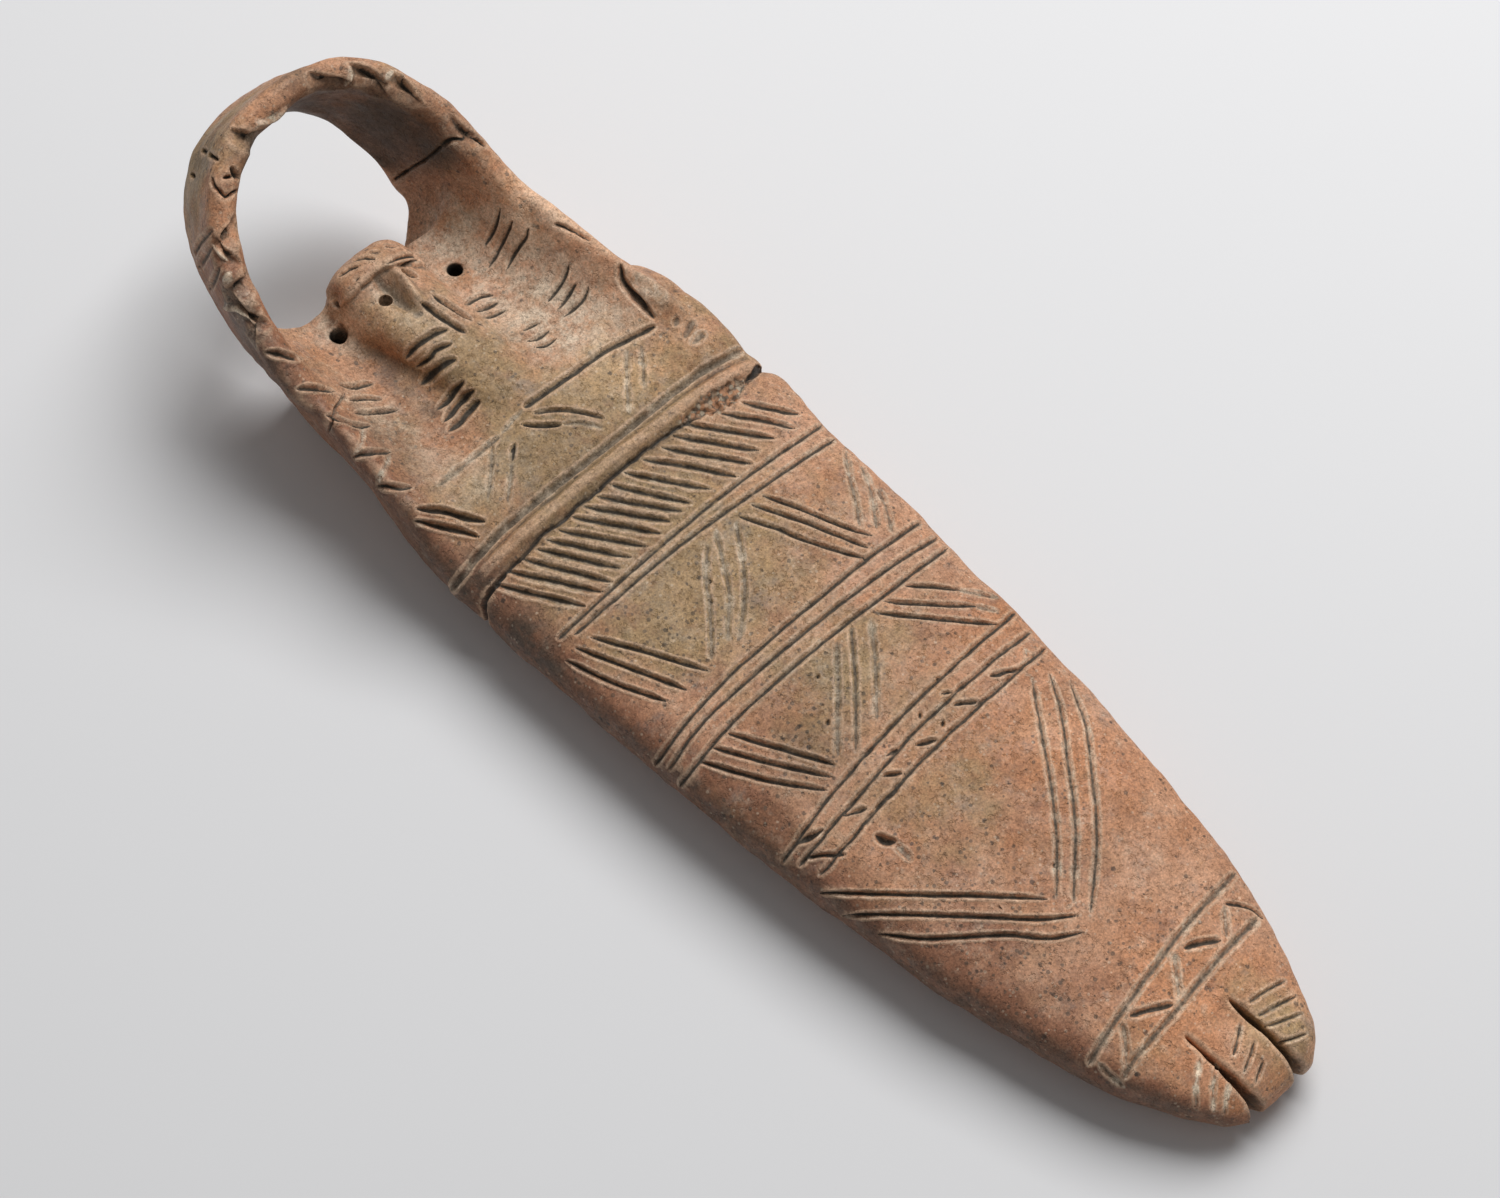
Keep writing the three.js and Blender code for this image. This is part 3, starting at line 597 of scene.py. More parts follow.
incise(
    [687, 281, 683, 219, 686, 149, 685, 56, 690, -20, 697, -60, 700, -136, 715, -212, 734, -297],
    [731, 287, 722, 213, 723, 148, 723, 43, 725, -24, 739, -102, 744, -154, 747, -211, 760, -281],
    [770, 283, 768, 218, 767, 134, 768, 65, 769, -27, 777, -116, 786, -185, 793, -234, 796, -270],
    width=1.05, dark=0.95, lime=0.6, ragged=1.6, wobble=0.08, over=2)
incise(
    [1278, 196, 1277, 131, 1286, 44, 1300, -34, 1311, -110, 1325, -178, 1333, -205],
    [1358, 162, 1356, 100, 1365, 22, 1373, -56, 1379, -129, 1381, -163, 1388, -183],
    width=1.35, depth=0.55, dark=0.7, lime=0.9, flank=3.5, over=1)

# The hatched band under the waist.
incise(
    [58, 261, 148, 317], [47, 218, 121, 269, 163, 291], [14, 156, 153, 252], [20, 126, 151, 215],
    [25, 96, 162, 188], [16, 54, 87, 105, 162, 150], [14, 13, 148, 100], [14, -21, 143, 55],
    [15, -54, 144, 33], [16, -83, 145, 5], [16, -112, 150, -24], [17, -148, 151, -59],
    [18, -175, 147, -94], [20, -199, 151, -121], [18, -230, 160, -150], [16, -265, 162, -176],
    [18, -300, 162, -216],
    width=1.15, lip=0.2, ragged=0.8, blunt=3.2, sloped=1)

# Panels of parallel strokes that meet as triangles between the bands: deep and fresh at the sides,
# worn faint and filled with lime in the middle, with a few pits.
incise(
    [210, -252, 288, -209, 352, -176, 400, -152], [207, -285, 301, -245, 400, -204],
    [214, -313, 296, -287, 392, -243], [503, -214, 581, -173, 675, -125],
    [504, -251, 584, -207, 687, -144], [510, -284, 614, -227, 698, -167],
    width=1.2, depth=0.85, lip=0.18, blunt=3)
incise(
    [218, 153, 283, 182, 355, 208, 412, 234], [216, 126, 300, 165, 424, 212],
    [217, 93, 271, 120, 325, 140, 434, 192], [517, 201, 549, 232, 590, 264],
    [512, 154, 554, 190, 633, 262], [520, 129, 592, 188, 682, 262],
    blunt=3)
incise(
    [223, 17, 263, -27, 316, -70, 388, -135], [211, 47, 262, 14, 311, -19, 379, -88],
    [224, 83, 286, 39, 331, 0, 394, -74], [257, 322, 305, 285, 348, 257, 384, 228],
    [294, 322, 344, 296, 408, 246], [349, 309, 396, 285, 430, 261], [588, 261, 645, 299],
    [630, 259, 666, 282], [510, 44, 578, -22, 668, -113], [521, 116, 590, 57, 667, -18],
    width=1.2, depth=0.4, dark=0.4, lime=0.8, lip=0.06, ragged=1.8)
incise([507, 82, 600, -1, 682, -84], depth=0.55, dark=0.7, lime=0.8)
incise(
    [704, 48, 715, 38], [743, 64, 751, 53], [679, 115, 686, 113], [561, -5, 565, -9],
    [272, -26, 279, -33], [301, -55, 308, -59], [-160, -89, -154, -100], [-159, -140, -156, -143],
    [-131, -170, -128, -173], [533, -25, 539, -31], [606, -74, 613, -82], [1054, 6, 1059, 0],
    width=0.8, lime=0, lip=0.05, blunt=0.2)

# Rough ticks between the knee bands, the gouge under them and the big chevron on the shins.
incise(
    [739, 178, 764, 225], [734, 95, 760, 132], [706, 96, 717, 112], [741, -5, 764, 29],
    [742, -85, 765, -54], [724, -54, 727, -29], [746, -184, 768, -143], [728, -277, 741, -238],
    [758, -283, 801, -229], [699, -79, 695, -59], [778, -115, 778, -76], [784, -174, 782, -152],
    [746, -220, 739, -246, 731, -277], [788, -222, 795, -255],
    lime=0.6, lip=0.2, ragged=1.6, wobble=0.15)
incise([746, 262, 767, 250], width=0.9, depth=0.4, dark=0.3, lime=0.9)
incise([812, -169, 831, -165, 844, -152], width=1.8, depth=1.3, lime=0.05, lip=0.15)
incise([844, -157, 869, -158, 886, -161], width=1.6, depth=0.5, dark=0, lime=1.4)
incise(
    [821, -309, 939, -194, 1045, -91, 1092, -49],
    [875, -312, 952, -231, 1059, -130, 1107, -85, 1148, -33],
    [939, -293, 993, -250, 1092, -140, 1144, -95, 1174, -49],
    lip=0.2, blunt=5)
incise(
    [791, 231, 865, 174, 961, 100, 1029, 39, 1101, -38],
    [807, 258, 870, 219, 942, 159, 1026, 87, 1129, -27],
    [844, 269, 911, 234, 983, 174, 1070, 93, 1158, -17],
    depth=0.5, dark=0.75, lime=0.9, ragged=1.6, blunt=4)

# The zigzag between the ankle bands and the strokes across the three toes.
incise([1324, -106, 1341, -74, 1361, -39], [1307, 43, 1321, 72, 1340, 99], width=1.5, lime=0.4)
incise([1300, 151, 1318, 165, 1343, 177, 1366, 176], width=0.9, depth=0.55, lime=0.2)
incise(
    [1400, -202, 1370, -203, 1345, -200], [1387, -179, 1355, -146, 1323, -122],
    [1366, -29, 1331, 2, 1303, 28], [1345, 109, 1304, 149],
    width=1.2, depth=0.45, dark=0.35, lime=0.9)
incise(
    [1445, 48, 1452, 86, 1462, 123], [1470, 39, 1480, 76, 1492, 114],
    [1491, 34, 1505, 67, 1519, 98], [1523, 27, 1537, 53, 1548, 77],
    [1458, 15, 1479, -17, 1489, -39], [1495, 8, 1510, -20, 1521, -48],
    [1528, -7, 1538, -28, 1547, -48],
    width=0.85, depth=0.6, dark=0.8, lime=0.7)
incise(
    [1453, -75, 1475, -109, 1508, -148], [1478, -65, 1499, -95, 1529, -131],
    [1515, -76, 1530, -101, 1548, -124],
    width=0.75, depth=0.35, dark=0, lime=1.3, ragged=1.8)

# The chest: the collar, a pair of strokes and four worn ones under it, the crease that sets the
# rolled lobe off from the right shoulder, and the lobe's dents.
incise([-205, -21, -198, 60, -191, 151, -177, 212, -164, 262], width=1.6, depth=0.9, lime=0.4)
incise([-191, -91, -192, -150, -193, -237], width=1.2, depth=0.55, dark=0.6, lime=1, ragged=1.8)
incise([-203, -26, -192, -88], width=0.9, depth=0.25, dark=0.1, lime=0.8)
incise([-186, -19, -166, 10, -136, 38, -89, 65], depth=0.7, dark=0.8, lime=0.4)
incise([-183, -48, -158, -26, -132, 3], width=1.2, depth=1, lime=0.3)
incise([-132, 3, -109, 30, -74, 50], width=1, depth=0.3, dark=0.3, lime=0.8)
incise(
    [-191, -111, -151, -149, -108, -197], [-138, -112, -113, -139, -79, -176],
    [-166, 194, -125, 155, -63, 100], [-156, 219, -120, 190, -84, 158],
    depth=0.35, dark=0.3, lime=0.7, lip=0.03, ragged=1.8)
incise([-164, -81, -138, -112], width=1, lime=0.6)
incise([-185, -294, -144, -261, -114, -247, -81, -226], width=1.6, depth=1.3, lip=0.2, blunt=3)
incise([-169, -313, -128, -288, -93, -267, -68, -256], width=1.5, depth=1.2, lip=0.3, blunt=3)
incise(
    [-304, 310, -277, 287, -242, 279, -210, 276, -176, 272],
    width=1.8, depth=1.9, dark=0.8, lime=0.1, lip=0.05, blunt=3)
incise(
    [-149, 304, -138, 286], [-123, 319, -110, 281], [-94, 315, -91, 282],
    width=1.9, depth=0.65, dark=0.5)
incise(
    [-264, 314, -244, 296], [-243, 320, -216, 302], [-216, 326, -194, 306],
    width=2.2, depth=0.3, dark=0.15, lime=0.6)

# Round the head: hair, an eye and a string hole cut aslant, two long grooves under the nose, rows
# on the flanks of the chest and on the inner faces of both walls, and slashes on the left wall.
incise(
    [-649, -32, -639, -13, -622, 1], [-643, 1, -627, 18], [-633, 30, -615, 47],
    [-641, -73, -640, -50, -631, -29], [-614, -58, -612, -46], [-602, 6, -589, 40, -575, 61],
    [-580, 22, -571, 43, -567, 60],
    width=0.95, depth=0.6, lime=0.3)
incise([-592, -64, -589, -33], width=0.9, depth=0.3, dark=0.3, lime=0.7)
incise([-567, 17, -556, 24, -544, 28], width=2, depth=1.7, lime=0, lip=0.05, blunt=0.9)
incise([-548, -45, -544, -38], width=1.5, depth=1.6, lime=0, lip=0.02, blunt=0.5)
incise([-603, -114, -593, -118], width=2, depth=1.8, lime=0, lip=0.05, blunt=0.5)
incise(
    [-495, -4, -443, 3, -391, 11], [-492, 23, -449, 30, -404, 37],
    width=1.5, depth=1.2, lime=0.2, blunt=1.6)
incise([-396, 39, -379, 44], width=0.8, depth=0.4)
for width, plan in [
    (1.6, [-427, -104, -433, -67, -431, -35, -420, -7]),
    (1.3, [-400, -100, -397, -76, -402, -52, -393, -21]),
    (2, [-368, -118, -370, -90, -370, -61, -363, -39]),
    (1.5, [-310, -133, -311, -110, -316, -86, -319, -60]),
    (1.7, [-283, -141, -288, -117, -293, -89, -293, -60]),
    (1.9, [-262, -148, -264, -124, -269, -97, -269, -68]),
]:
    incise(plan, width=width * 1.15, depth=1.1, lime=0.2, blunt=2.2)
incise(
    [-436, 49, -432, 78, -415, 101], [-415, 52, -404, 76, -397, 99], [-393, 54, -384, 75, -376, 99],
    [-325, 84, -322, 98, -314, 119], [-302, 77, -293, 95, -290, 122],
    [-284, 77, -273, 94, -269, 117], [-546, 236, -521, 199, -504, 158],
    [-510, 233, -489, 191, -465, 133], [-477, 244, -463, 221, -456, 191, -439, 153],
    [-366, 240, -347, 200, -336, 160], [-330, 224, -319, 189, -311, 158],
    [-308, 234, -294, 199, -293, 159],
    width=1.2, lime=0.3, blunt=2)
incise(
    [-468, -222, -450, -210, -438, -189, -428, -176], [-433, -231, -418, -210, -394, -188],
    [-406, -242, -382, -215, -358, -182],
    width=1.4, depth=1.1, blunt=2)
incise(
    [-613, -272, -586, -253, -556, -234], [-515, -282, -497, -260, -466, -238],
    [-436, -281, -415, -269, -387, -258, -367, -240], [-339, -305, -332, -283, -303, -251],
    [-266, -314, -244, -292, -223, -271],
    width=1.5, depth=1, lime=0.4, lip=0.2, blunt=2)
incise(
    [-374, -251, -349, -278, -341, -301], [-297, -256, -282, -288, -271, -310],
    [-466, -238, -438, -236],
    width=0.9, depth=0.2, dark=0, lime=1.1, ragged=1.8)

# The hood's rim: notched and slashed into a rope-like zigzag of facets, cracked, chipped and
# mended. The notches slope away on one side, and a depth below nothing raises a ridge.
for width, depth, plan in [
    (2.2, 1.7, [-1010, 12, -990, 19, -978, 38, -977, 52]),
    (1.4, 1.5, [-855, -170, -860, -151, -863, -132]),
    (2.2, 1.6, [-848, -178, -827, -179, -809, -176]),
    (1.8, 1.4, [-764, -231, -760, -213, -759, -193]),
    (2.2, 1.9, [-747, -241, -718, -240, -694, -237, -674, -226]),
    (1.4, 1, [-704, -261, -685, -254, -667, -251]),
    (1.5, 1.5, [-672, -235, -663, -250, -658, -266]),
    (2.2, 1.5, [-1000, 200, -980, 207, -959, 225]), (2.2, 1.7, [-959, 268, -941, 272, -916, 275]),
    (1.6, 1.2, [-918, 266, -892, 261]), (2, 1.6, [-886, 305, -866, 300, -844, 297]),
    (1.4, 1.2, [-735, 310, -718, 308, -709, 314]),
]:
    incise(plan, width=0.5 * width, depth=1.3 * depth, lime=0.3, lip=0, blunt=1, flank=1.1,
           sloped=3.6)
incise(
    [-978, 255, -958, 242, -945, 213], [-903, 275, -910, 307], [-899, 309, -882, 304],
    [-856, -192, -829, -195, -803, -189], [-739, -258, -705, -254, -664, -240],
    [-995, 39, -986, 75, -990, 110], [-784, -204, -776, -230],
    width=1.5, depth=-0.85, dark=0, lime=1, lip=0, flank=1.1)
incise(
    [-862, -227, -874, -196, -877, -168], [-833, -241, -842, -216, -851, -192],
    [-781, -261, -793, -237, -811, -209],
    width=1.7, depth=0.5, dark=0.7, lime=0.3)
for width, plan in [
    (0.9, [-1031, -69, -1016, -67, -1002, -63, -987, -61]),
    (0.9, [-968, -94, -943, -104, -915, -104, -911, -87, -911, -78]),
    (1.5, [-959, -54, -929, -58, -905, -78]), (0.7, [-952, -81, -939, -62]),
    (1.3, [-712, 314, -709, 302, -707, 290, -720, 272, -723, 252]),
    (0.8, [-723, 252, -719, 234, -722, 199, -726, 166, -727, 137]),
    (0.9, [-702, 305, -679, 309, -663, 310]), (1.2, [-1000, -117, -988, -115]),
    (0.5, [-449, -227, -439, -252, -423, -280, -410, -304]),
    (0.8, [-452, 281, -431, 291, -406, 300, -377, 308]),
]:
    incise(plan, width=width, depth=1.1, lime=0.1, lip=0.02, ragged=1.8, blunt=0.6, wobble=0.16)

# The mended break at the waist: a jagged crack right round the board, open at both edges and
# filled with crumbly grout near the right one.
CRACK = [
    [-36, 2.4], [-31, 1.2], [-24, 0.7], [-8, 0.8], [6, 0.8], [15, 1.2], [20, 2], [26, 3],
    [30, 2.7], [36, 1.4],
]
GROUT_NEAR = [[15, 0.3], [18.6, 0.4], [21.3, 0.1], [24.6, 0.5], [29, 1.1], [31.6, 2.6]]
GROUT_FAR = [
    [15, 1], [16.9, 1.6], [19.3, 2.2], [22.1, 4.4], [26.2, 4.7], [28.8, 3.8], [31.6, 2.9],
]
GROUT_FROM, GROUT_TO, GROUT_BASE = 15, 32, 14
jag = 0.2 * mottle(points, 9, 31) + 0.1 * mottle(points, 2.2, 32)
side = np.clip(np.abs(y - 2) / 34, 0, 1) ** 6
q = np.abs(x - along(CRACK, y) - jag) / (0.3 + 0.1 * mottle(points, 6, 33) + 0.35 * side)
crack = (x > CHEST_END) * np.clip(1 - q**1.5, 0, 1)
inside = np.minimum(x - along(GROUT_NEAR, y), along(GROUT_FAR, y) - x) / 0.5
inside = np.minimum(inside, np.minimum(y - GROUT_FROM, GROUT_TO - y)) + 0.7 * mottle(points, 1.6, 8)
grout = np.clip(inside, 0, 1) * (z > GROUT_BASE) * (x > CHEST_END)
cut = np.maximum(cut, crack * (0.95 + 0.7 * side) * (1 - 0.8 * grout))

# All that is cut and raised goes into the skin at once, then a few chips, and a light rub.
lips = lip_height * bell(nearest, 1.3, 0.35) * (nearest > 1)
points += outward * (lips - cut + raised)[:, None]
points += outward * (grout * (0.5 * mottle(points, 1.3, 9) - 0.25))[:, None]
CHIPS = [
    [-1.1, 1.6, -34.6, 14, 1.6, 1.8, 6], [-1.2, 1.6, 36.2, 14, 1.5, 2, 6],
    [-0.5, -88.5, 8, 50, 7, 3, 6], [-0.8, -100.3, 16.8, 52, 2, 2, 5],
    [-0.7, -20, 35.4, 20, 1, 1.6, 4],
]
outward = normals()
points += outward * spots(*CHIPS)[:, None]
points += 0.12 * (neighbour_mean(points) - points)
points[:, 2] = np.maximum(z, 0.01)

# What the finish follows: stain and painted shade in the lines, lime in them, painted shade in the
# holes, the slits and under the hood, painted shade in hollows and a painted highlight on edges,
# grout, painted shade on the near side and beside the belt, and spots of whitish bloom with painted
# light on the right wall's inner face, of the ochre and russet parts of the firing, of grime mixed
# with painted shade, of dark specks, and of a lighter or darker tone.
# Spots of whitish bloom; the one at -46, 21 is painted light on the right wall's inner face.
BLOOM_AND_WALL_LIGHT = [
    [1, -58, 13, 18, 7, 7, 9], [1, -58, -14, 18, 6, 5, 9], [0.7, -46, 10, 20, 9, 6, 6],
    [0.6, -33, -21, 20, 14, 5, 7], [0.5, -54, -5, 25, 4, 4, 4], [0.5, -24, 24, 19, 8, 5, 6],
    [1.1, -28, 14, 20, 8, 7, 6], [0.35, -16, -17, 20, 6, 7, 6], [0.5, -44, -4, 24, 8, 4, 5],
    [0.5, -36, 14, 20, 9, 8, 7], [0.6, -46, 21, 25, 15, 6, 8], [0.3, -20, 29, 22, 8, 5, 5],
]
OCHRED = [
    [1, -12, 4, 20, 9, 24, 8], [1.2, 7, -6, 20, 10, 22, 8], [1.2, 148, 8, 12, 9, 7, 8],
    [1, 30, -10, 20, 9, 13, 8], [0.8, 57, 0, 20, 12, 18, 8], [0.8, 26, 2, 20, 14, 24, 8],
    [0.7, -42, -4, 24, 12, 6, 6], [0.8, -90, -20, 40, 9, 8, 12], [0.6, 85, -2, 18, 12, 14, 6],
    [0.9, -27, -4, 21, 9, 7, 6], [0.8, -90, -14, 42, 9, 9, 10], [0.9, 67, -29, 14, 12, 5, 8],
]
# Dark spots, partly dirt and partly painted shade: the nose's flank, the troughs and the left
# wall's inner face.
GRIME_AND_SHADE = [
    [1, -52, -4, 26, 3.4, 1, 5], [0.8, -46, -14, 17, 15, 3, 5], [0.6, -30, -13, 17, 8, 3, 5],
    [0.9, 12.5, -31.5, 18, 7, 4, 5], [0.9, -3, -31, 18, 4, 5, 5], [0.7, -83.5, 3, 52, 4, 4, 3],
    [0.6, -87, -16, 43, 5, 5, 6], [0.5, -38, -25, 22, 16, 4, 8], [0.8, -60, -12, 20, 2.4, 1.6, 5],
    [0.5, -22, 33, 22, 6, 4, 5],
]
UNDER_BELT = [0.25, 9, -14, 19, 7, 18, 8]
RUSSETS = [
    [0.8, 104, -16, 14, 16, 7, 8], [0.5, 126, -10, 14, 8, 8, 8], [0.6, 60, -26, 16, 14, 5, 8],
]
SPECKED = [
    [0.8, 30, -12, 20, 12, 12, 8], [0.9, 60, -10, 20, 10, 10, 8], [0.9, 104, -14, 16, 18, 10, 8],
    [0.6, 126, 0, 14, 8, 10, 8],
]
# The spot at -45, 26 lightens the right wall's inner face: painted light.
TONES = [
    [0.8, 149, 0, 12, 14, 14, 8], [0.6, 131, 3, 14, 12, 14, 8], [0.5, 92, 20, 17, 16, 8, 8],
    [0.6, -15, 18, 20, 9, 10, 6], [0.5, -47, -9, 24, 5, 4, 5], [1, -45, 26, 28, 14, 5, 6],
    [-0.7, 62, -15, 19, 9, 8, 8], [-0.7, -28, -25, 21, 8, 6, 6], [-0.4, -10, -5, 20, 5, 10, 6],
    [-0.9, -72, 20, 32, 13, 9, 12],
]
outward = normals()
# How concave the skin is: concave places get painted shade, convex edges a painted highlight.
hollow_shade_edge_light = ((neighbour_mean(points) - points) * outward).sum(1)
for _ in range(4):
    hollow_shade_edge_light = 0.5 * hollow_shade_edge_light + 0.5 * neighbour_mean(hollow_shade_edge_light)
# Painted shade inside the string holes.
hole_shade = np.zeros(count)
for hole_x, hole_y, radius in HOLES:
    gap = radius + 0.25 - np.hypot(x - hole_x, y - hole_y)
    hole_shade = np.maximum(hole_shade, eased(gap, 0, 0.3) * (z < 27))
# Painted shade inside the slits between the toes.
slit_shade = np.zeros(count)
for from_x, from_y, to_y in SLITS:
    run = (x - from_x) / (TOE_END + SLIT_OVERRUN - from_x)
    gap = np.abs(y - from_y - (to_y - from_y) * run)
    below = along(THICKNESSES, x) - 0.8 - z
    inside_slit = (run > 0) * eased(-gap, -2.4, -1.2) * eased(below, 0, 1.2) * eased(z, 1.5, 5)
    slit_shade = np.maximum(slit_shade, inside_slit)
# Painted shade on the hood's inner face, darkest nearest to it.
closest = np.full(count, 99.0)
under = (x < -45) & (z > 20)
hood_shade_places = hood_point(np.linspace(14, 112, 28)[:, None], np.linspace(0, 0.8, 12)[None, :], -1.0)
for centre in hood_shade_places.reshape(-1, 3):
    closest[under] = np.minimum(closest[under], ((points[under] - centre) ** 2).sum(1))
from_middle = (y - along(CENTRES, x)) / along(HALF_WIDTHS, x)
# Painted shade along the near side, which is turned from the light.
near_side_shade = eased(-from_middle, 0.9, 1) * (x > -66)
# Painted shade in the troughs either side of the belt's roll.
belt_shade = on_board * (0.7 * bell(past_belt, -3.2, 1.7) + 0.7 * bell(past_belt, 2.2, 1))
chalk = 0.55 * bell(nearest, 1, 0.24) + np.clip(1.2 - nearest, 0, 1) * (1 - groove_stain_and_shade)
marks = {
    "groove": groove_stain_and_shade,
    "lime": np.clip(pale, 0, 2) * np.clip(chalk, 0, 1),
    "bloom_and_wall_light": np.clip(spots(*BLOOM_AND_WALL_LIGHT), 0, 1),
    "ochre": np.clip(spots(*OCHRED) + 0.2 * eased(-x, -22, 8), 0, 1),
    # Grime together with painted shade in the slits, along the near side and beside the belt.
    "grime_and_shade": np.clip(
        slit_shade + spots(*GRIME_AND_SHADE) + 0.8 * near_side_shade + belt_shade + on_board * spots(UNDER_BELT), 0, 1),
    # The near side is painted darker russet as shade; the spots are russet of the firing.
    "russet_and_side_shade": np.clip(eased(-from_middle, 0.7, 1) + spots(*RUSSETS), 0, 1),
    "specked": np.clip(0.25 + spots(*SPECKED), 0, 1),
    "tone": np.clip(spots(*TONES), -1, 1),
    "hood_shade": eased(-np.sqrt(closest), -6.5, -1),
    "grout": grout,
    # The holes share this mark: painted shade inside them, the crack's own dark elsewhere.
    "crack": np.maximum(crack * (1 - grout), hole_shade),
    "hollow_shade_edge_light": np.clip(hollow_shade_edge_light / 0.02, -1, 1),
}
for name, values in marks.items():
    attribute = mesh.attributes.new(name, "FLOAT", "POINT")
    attribute.data.foreach_set("value", values.astype(np.float32))

FACES_KEPT = 190000
thinned = figurine.modifiers.new("thinned", "DECIMATE")
thinned.ratio = min(1.0, FACES_KEPT / (2 * len(mesh.polygons)))
thinned.use_collapse_triangulate = True
settle(figurine)
mesh = figurine.data
mesh.polygons.foreach_set("use_smooth", np.ones(len(mesh.polygons), bool))

# Fired clay: terracotta that the fire took to ochre in places, burnished to a satin, stained dark
# in specks, with painted shade in hollows and lines, a painted highlight on edges, and lime in the
# lines.
clay = bpy.data.materials.new("fired_clay")
clay.use_nodes = True
tree = clay.node_tree
tree.nodes.clear()


def put(kind, inputs=None, **settings):
    """A node of that kind with its settings, and its inputs set to values or joined to outputs."""
    made = tree.nodes.new(kind)
    for key, value in settings.items():
        setattr(made, key, value)
    for key, value in (inputs or {}).items():
        if isinstance(value, bpy.types.NodeSocket):
            tree.links.new(value, made.inputs[key])
        else:
            made.inputs[key].default_value = value
    return made


place = put("ShaderNodeTexCoord").outputs["Object"]


def cloud(size, seed, detail=4.0, rough=0.55):
    """Noise with features of about that many millimetres."""
    given = {"Vector": place, "W": seed, "Scale": 1000 / size, "Detail": detail, "Roughness": rough}
    return put("ShaderNodeTexNoise", given, noise_dimensions="4D").outputs["Fac"]


def span(value, low, high, start=0.0, end=1.0):
    """The value eased from low..high to start..end."""
    given = {"Value": value, "From Min": low, "From Max": high, "To Min": start, "To Max": end}
    return put("ShaderNodeMapRange", given, interpolation_type="SMOOTHSTEP").outputs["Result"]


def sum_of(a, b):
    """a plus b."""
    return put("ShaderNodeMath", {0: a, 1: b}, operation="ADD").outputs[0]


def less(a, b):
    """a minus b."""
    return put("ShaderNodeMath", {0: a, 1: b}, operation="SUBTRACT").outputs[0]


def times(a, b):
    """a times b."""
    return put("ShaderNodeMath", {0: a, 1: b}, operation="MULTIPLY").outputs[0]


def blend(share, under, over, how="MIX"):
    """The under colour with that share of the over one laid on, or multiplied in."""
    under, over = ((*tint, 1) if isinstance(tint, tuple) else tint for tint in (under, over))
    given = {0: share, 6: under, 7: over}
    return put("ShaderNodeMix", given, data_type="RGBA", blend_type=how).outputs[2]


def mark(name):
    """The value that the skin carries under that name."""
    return put("ShaderNodeAttribute", attribute_name=name).outputs["Fac"]


def broken(name, amount, *settings):
    """That value made uneven: it plus the amount times a cloud less one half."""
    return sum_of(mark(name), times(sum_of(cloud(*settings), -0.5), amount))


def cells(spacing):
    """Distance to, and the random colour of, scattered cells about that many millimetres apart,
    swayed by a third of that so that no cell is straight-sided."""
    SWAY = 0.35
    drift = put("ShaderNodeTexNoise", {"Vector": place, "Scale": 4500 / spacing, "Detail": 3.0})
    centred = put("ShaderNodeVectorMath", {0: drift.outputs["Color"], 1: (0.5, 0.5, 0.5)},
                  operation="SUBTRACT")
    swayed = put("ShaderNodeVectorMath", {0: centred.outputs[0], "Scale": SWAY * spacing * MM},
                 operation="SCALE")
    moved = put("ShaderNodeVectorMath", {0: place, 1: swayed.outputs[0]}, operation="ADD")
    grains = put("ShaderNodeTexVoronoi", {"Vector": moved.outputs[0], "Scale": 1000 / spacing})
    chance = put("ShaderNodeSeparateColor", {"Color": grains.outputs["Color"]})
    return grains.outputs["Distance"], chance.outputs


def specks(spacing, size, share):
    """1 on scattered specks: in each cell a spot up to that part of the spacing wide, where the
    cell's chance is under the share."""
    distance, chance = cells(spacing)
    spot = span(less(span(chance[1], 0, 1, 0.25 * size, size), distance), -0.03, 0.05)
    return times(spot, span(less(share, chance[0]), 0, 0.02))


TERRACOTTA = (0.47, 0.212, 0.104)
ROSE = (0.55, 0.295, 0.175)
RUSSET = (0.25, 0.105, 0.058)
OCHRE = (0.37, 0.245, 0.12)
OLIVE = (0.215, 0.155, 0.085)
UMBER = (0.085, 0.066, 0.048)
INK = (0.028, 0.025, 0.022)
LIME = (0.70, 0.58, 0.44)
SILT = (0.42, 0.34, 0.245)
GREY = (0.22, 0.20, 0.185)
HOOD_SHADE = (0.10, 0.068, 0.045)
CRUMB = (0.40, 0.20, 0.105)
EDGE_HIGHLIGHT = (0.62, 0.41, 0.27)
GROOVE_SIDE = (0.15, 0.115, 0.08)
GROOVE_BED = (0.042, 0.037, 0.03)
BUMP_DEPTH = 0.24 * MM

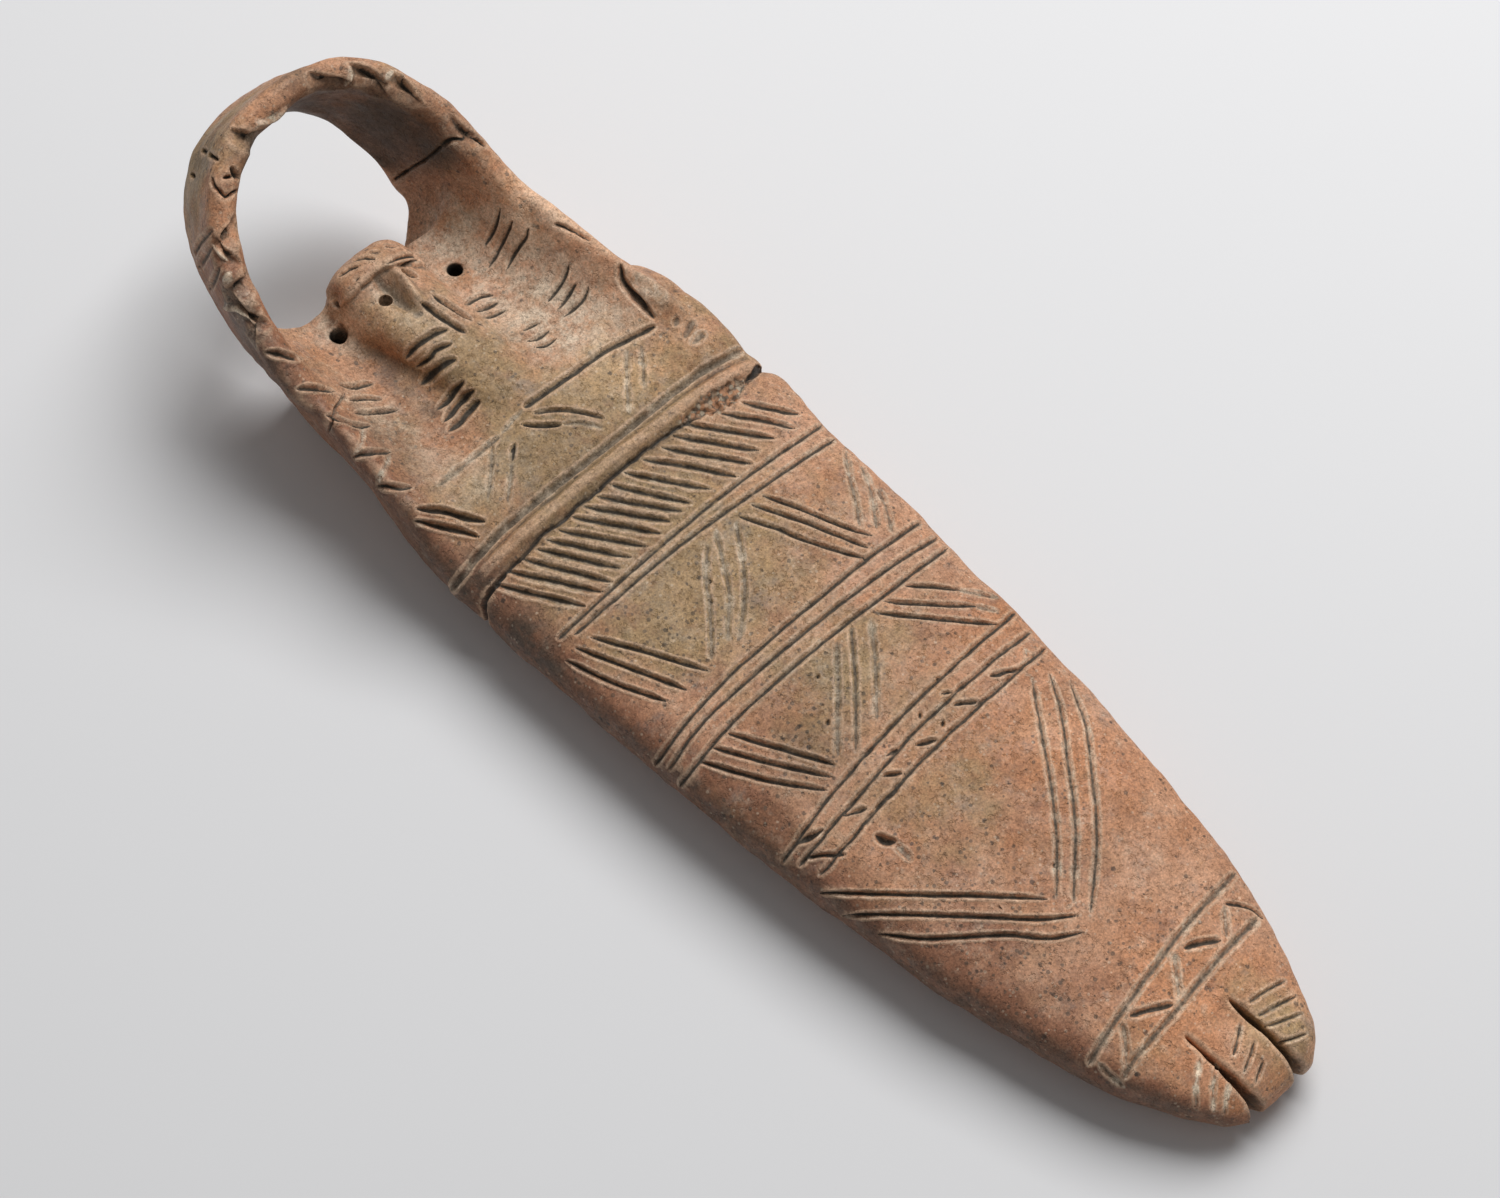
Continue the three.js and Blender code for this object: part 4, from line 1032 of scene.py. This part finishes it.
# The layers of colour, from the bare clay up: each a share and what is laid on by it.
ochre_share = span(broken("ochre", 2.2, 10, 3, 7, 0.65), 0, 1, 0, 0.9)
specked = span(broken("specked", 1.6, 5, 7, 4), 0, 1, 0.03, 0.55)
chalky = blend(span(cloud(3, 21), 0.35, 0.6), SILT, LIME)
grooved = broken("groove", 1.1, 1.6, 24, 6, 0.75)
crumbs, crumb_chance = cells(0.8)
crumbly = blend(span(crumb_chance[0], 0.3, 0.9), CRUMB, SILT)
crumbly = blend(span(crumbs, 0.42, 0.75, 0, 0.8), crumbly, UMBER)
colour = TERRACOTTA
for share, *over in [
    (span(cloud(22, 1), 0.38, 0.62), ROSE),
    (ochre_share, OCHRE),
    (times(ochre_share, span(cloud(6, 4, 7, 0.7), 0.44, 0.66, 0, 0.6)), OLIVE),
    # Russet of the firing, and painted shade on the near side.
    (span(broken("russet_and_side_shade", 2, 6, 17, 7, 0.7), 0.1, 1, 0, 0.85), RUSSET),
    (span(cloud(8, 2, 7, 0.7), 0.5, 0.68, 0, 0.5), RUSSET),
    (span(cloud(6, 18, 8, 0.72), 0.53, 0.68, 0, 0.35), GREY),
    (span(cloud(3, 19, 8, 0.75), 0.5, 0.68, 0, 0.22), LIME),
    (span(cloud(2, 5, 7, 0.75), 0.52, 0.7, 0, 0.4), UMBER),
    # Grime and painted shade, in umber.
    (times(mark("grime_and_shade"), span(cloud(3.5, 23, 7, 0.7), 0.34, 0.6, 0.3, 0.85)), UMBER),
    (times(specks(0.9, 0.45, specked), 0.65), UMBER),
    (times(specks(1.9, 0.26, specked), 0.7), INK),
    (times(specks(0.7, 0.42, 0.16), 0.3), LIME),
    # Painted shade in the hollows, and a painted highlight on convex edges.
    (span(mark("hollow_shade_edge_light"), 0.1, 1, 0, 0.7), UMBER),
    (span(mark("hollow_shade_edge_light"), -0.2, -1, 0, 0.55), EDGE_HIGHLIGHT),
    # Painted shade under the hood.
    (times(mark("hood_shade"), span(cloud(9, 10, 5), 0.3, 0.6, 0.6, 0.95)), HOOD_SHADE),
    # Whitish bloom, and painted light on the right wall's inner face.
    (times(mark("bloom_and_wall_light"), span(cloud(3.5, 11, 8, 0.75), 0.38, 0.62, 0.1, 0.8)), LIME),
    (times(mark("lime"), span(cloud(1.8, 12, 7, 0.75), 0.4, 0.58, 0.1, 1)), chalky),
    # Dark in the lines: stain, and painted shade of the cut.
    (span(grooved, 0.3, 0.7, 0, 0.6), GROOVE_SIDE),
    (span(grooved, 0.5, 0.85, 0, 0.85), GROOVE_BED),
    (1, span(cloud(0.42, 20, 3, 0.8), 0.34, 0.66, 0.7, 1.26), "MULTIPLY"),
    (1, span(cloud(1.3, 22, 5, 0.7), 0.36, 0.64, 0.86, 1.12), "MULTIPLY"),
    (mark("grout"), crumbly),
    # The crack's dark, and painted shade inside the holes.
    (mark("crack"), INK),
    (1, span(mark("tone"), -1, 1, 0.7, 1.35), "MULTIPLY"),
]:
    colour = blend(share, colour, *over)

pits = span(cloud(1.1, 14, 4, 0.65), 0.36, 0.46)
height = sum_of(times(cloud(0.55, 13, 4, 0.6), 0.35), times(pits, 0.5))
height = sum_of(height, times(cloud(2.6, 15, 5, 0.6), 0.9))
bump = put("ShaderNodeBump", {"Height": height, "Strength": 1.0, "Distance": BUMP_DEPTH})
roughness = span(sum_of(cloud(6, 16, 5), times(mark("groove"), 0.3)), 0.3, 0.75, 0.5, 0.85)
surface = put("ShaderNodeBsdfPrincipled", {
    "Base Color": colour, "Roughness": roughness, "Normal": bump.outputs[0],
    "Specular IOR Level": 0.38,
})
put("ShaderNodeOutputMaterial", {"Surface": surface.outputs[0]})

mesh.materials.clear()
mesh.materials.append(clay)
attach(figurine, "root")
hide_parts("cradle_figurine")

# The setting: a plain pale floor, one broad soft light from behind the far side, and a pale sky.
floor_mesh = bpy.data.meshes.new("floor")
floor_mesh.from_pydata([(-4, -4, 0), (4, -4, 0), (4, 4, 0), (-4, 4, 0)], [], [(0, 1, 2, 3)])
floor = bpy.data.objects.new("floor", floor_mesh)
floor.location.z = -0.0001
scene.collection.objects.link(floor)
paper = bpy.data.materials.new("pale_paper")
paper.use_nodes = True
paper_surface = paper.node_tree.nodes["Principled BSDF"]
paper_surface.inputs["Base Color"].default_value = (0.8, 0.8, 0.81, 1)
paper_surface.inputs["Roughness"].default_value = 0.9
floor_mesh.materials.append(paper)

sky = bpy.data.worlds.new("sky")
scene.world = sky
sky.use_nodes = True
sky.node_tree.nodes["Background"].inputs["Color"].default_value = (1, 1, 1, 1)
sky.node_tree.nodes["Background"].inputs["Strength"].default_value = 0.19

KEY_PLACE = Vector((-0.2, 0.52, 0.88))
KEY_SIZE, KEY_POWER = 0.72, 10.4
key_light = bpy.data.lights.new("key", "AREA")
key_light.size, key_light.energy = KEY_SIZE, KEY_POWER
key = bpy.data.objects.new("key", key_light)
key.location = KEY_PLACE
key.rotation_euler = (-KEY_PLACE).to_track_quat("-Z", "Y").to_euler()
scene.collection.objects.link(key)
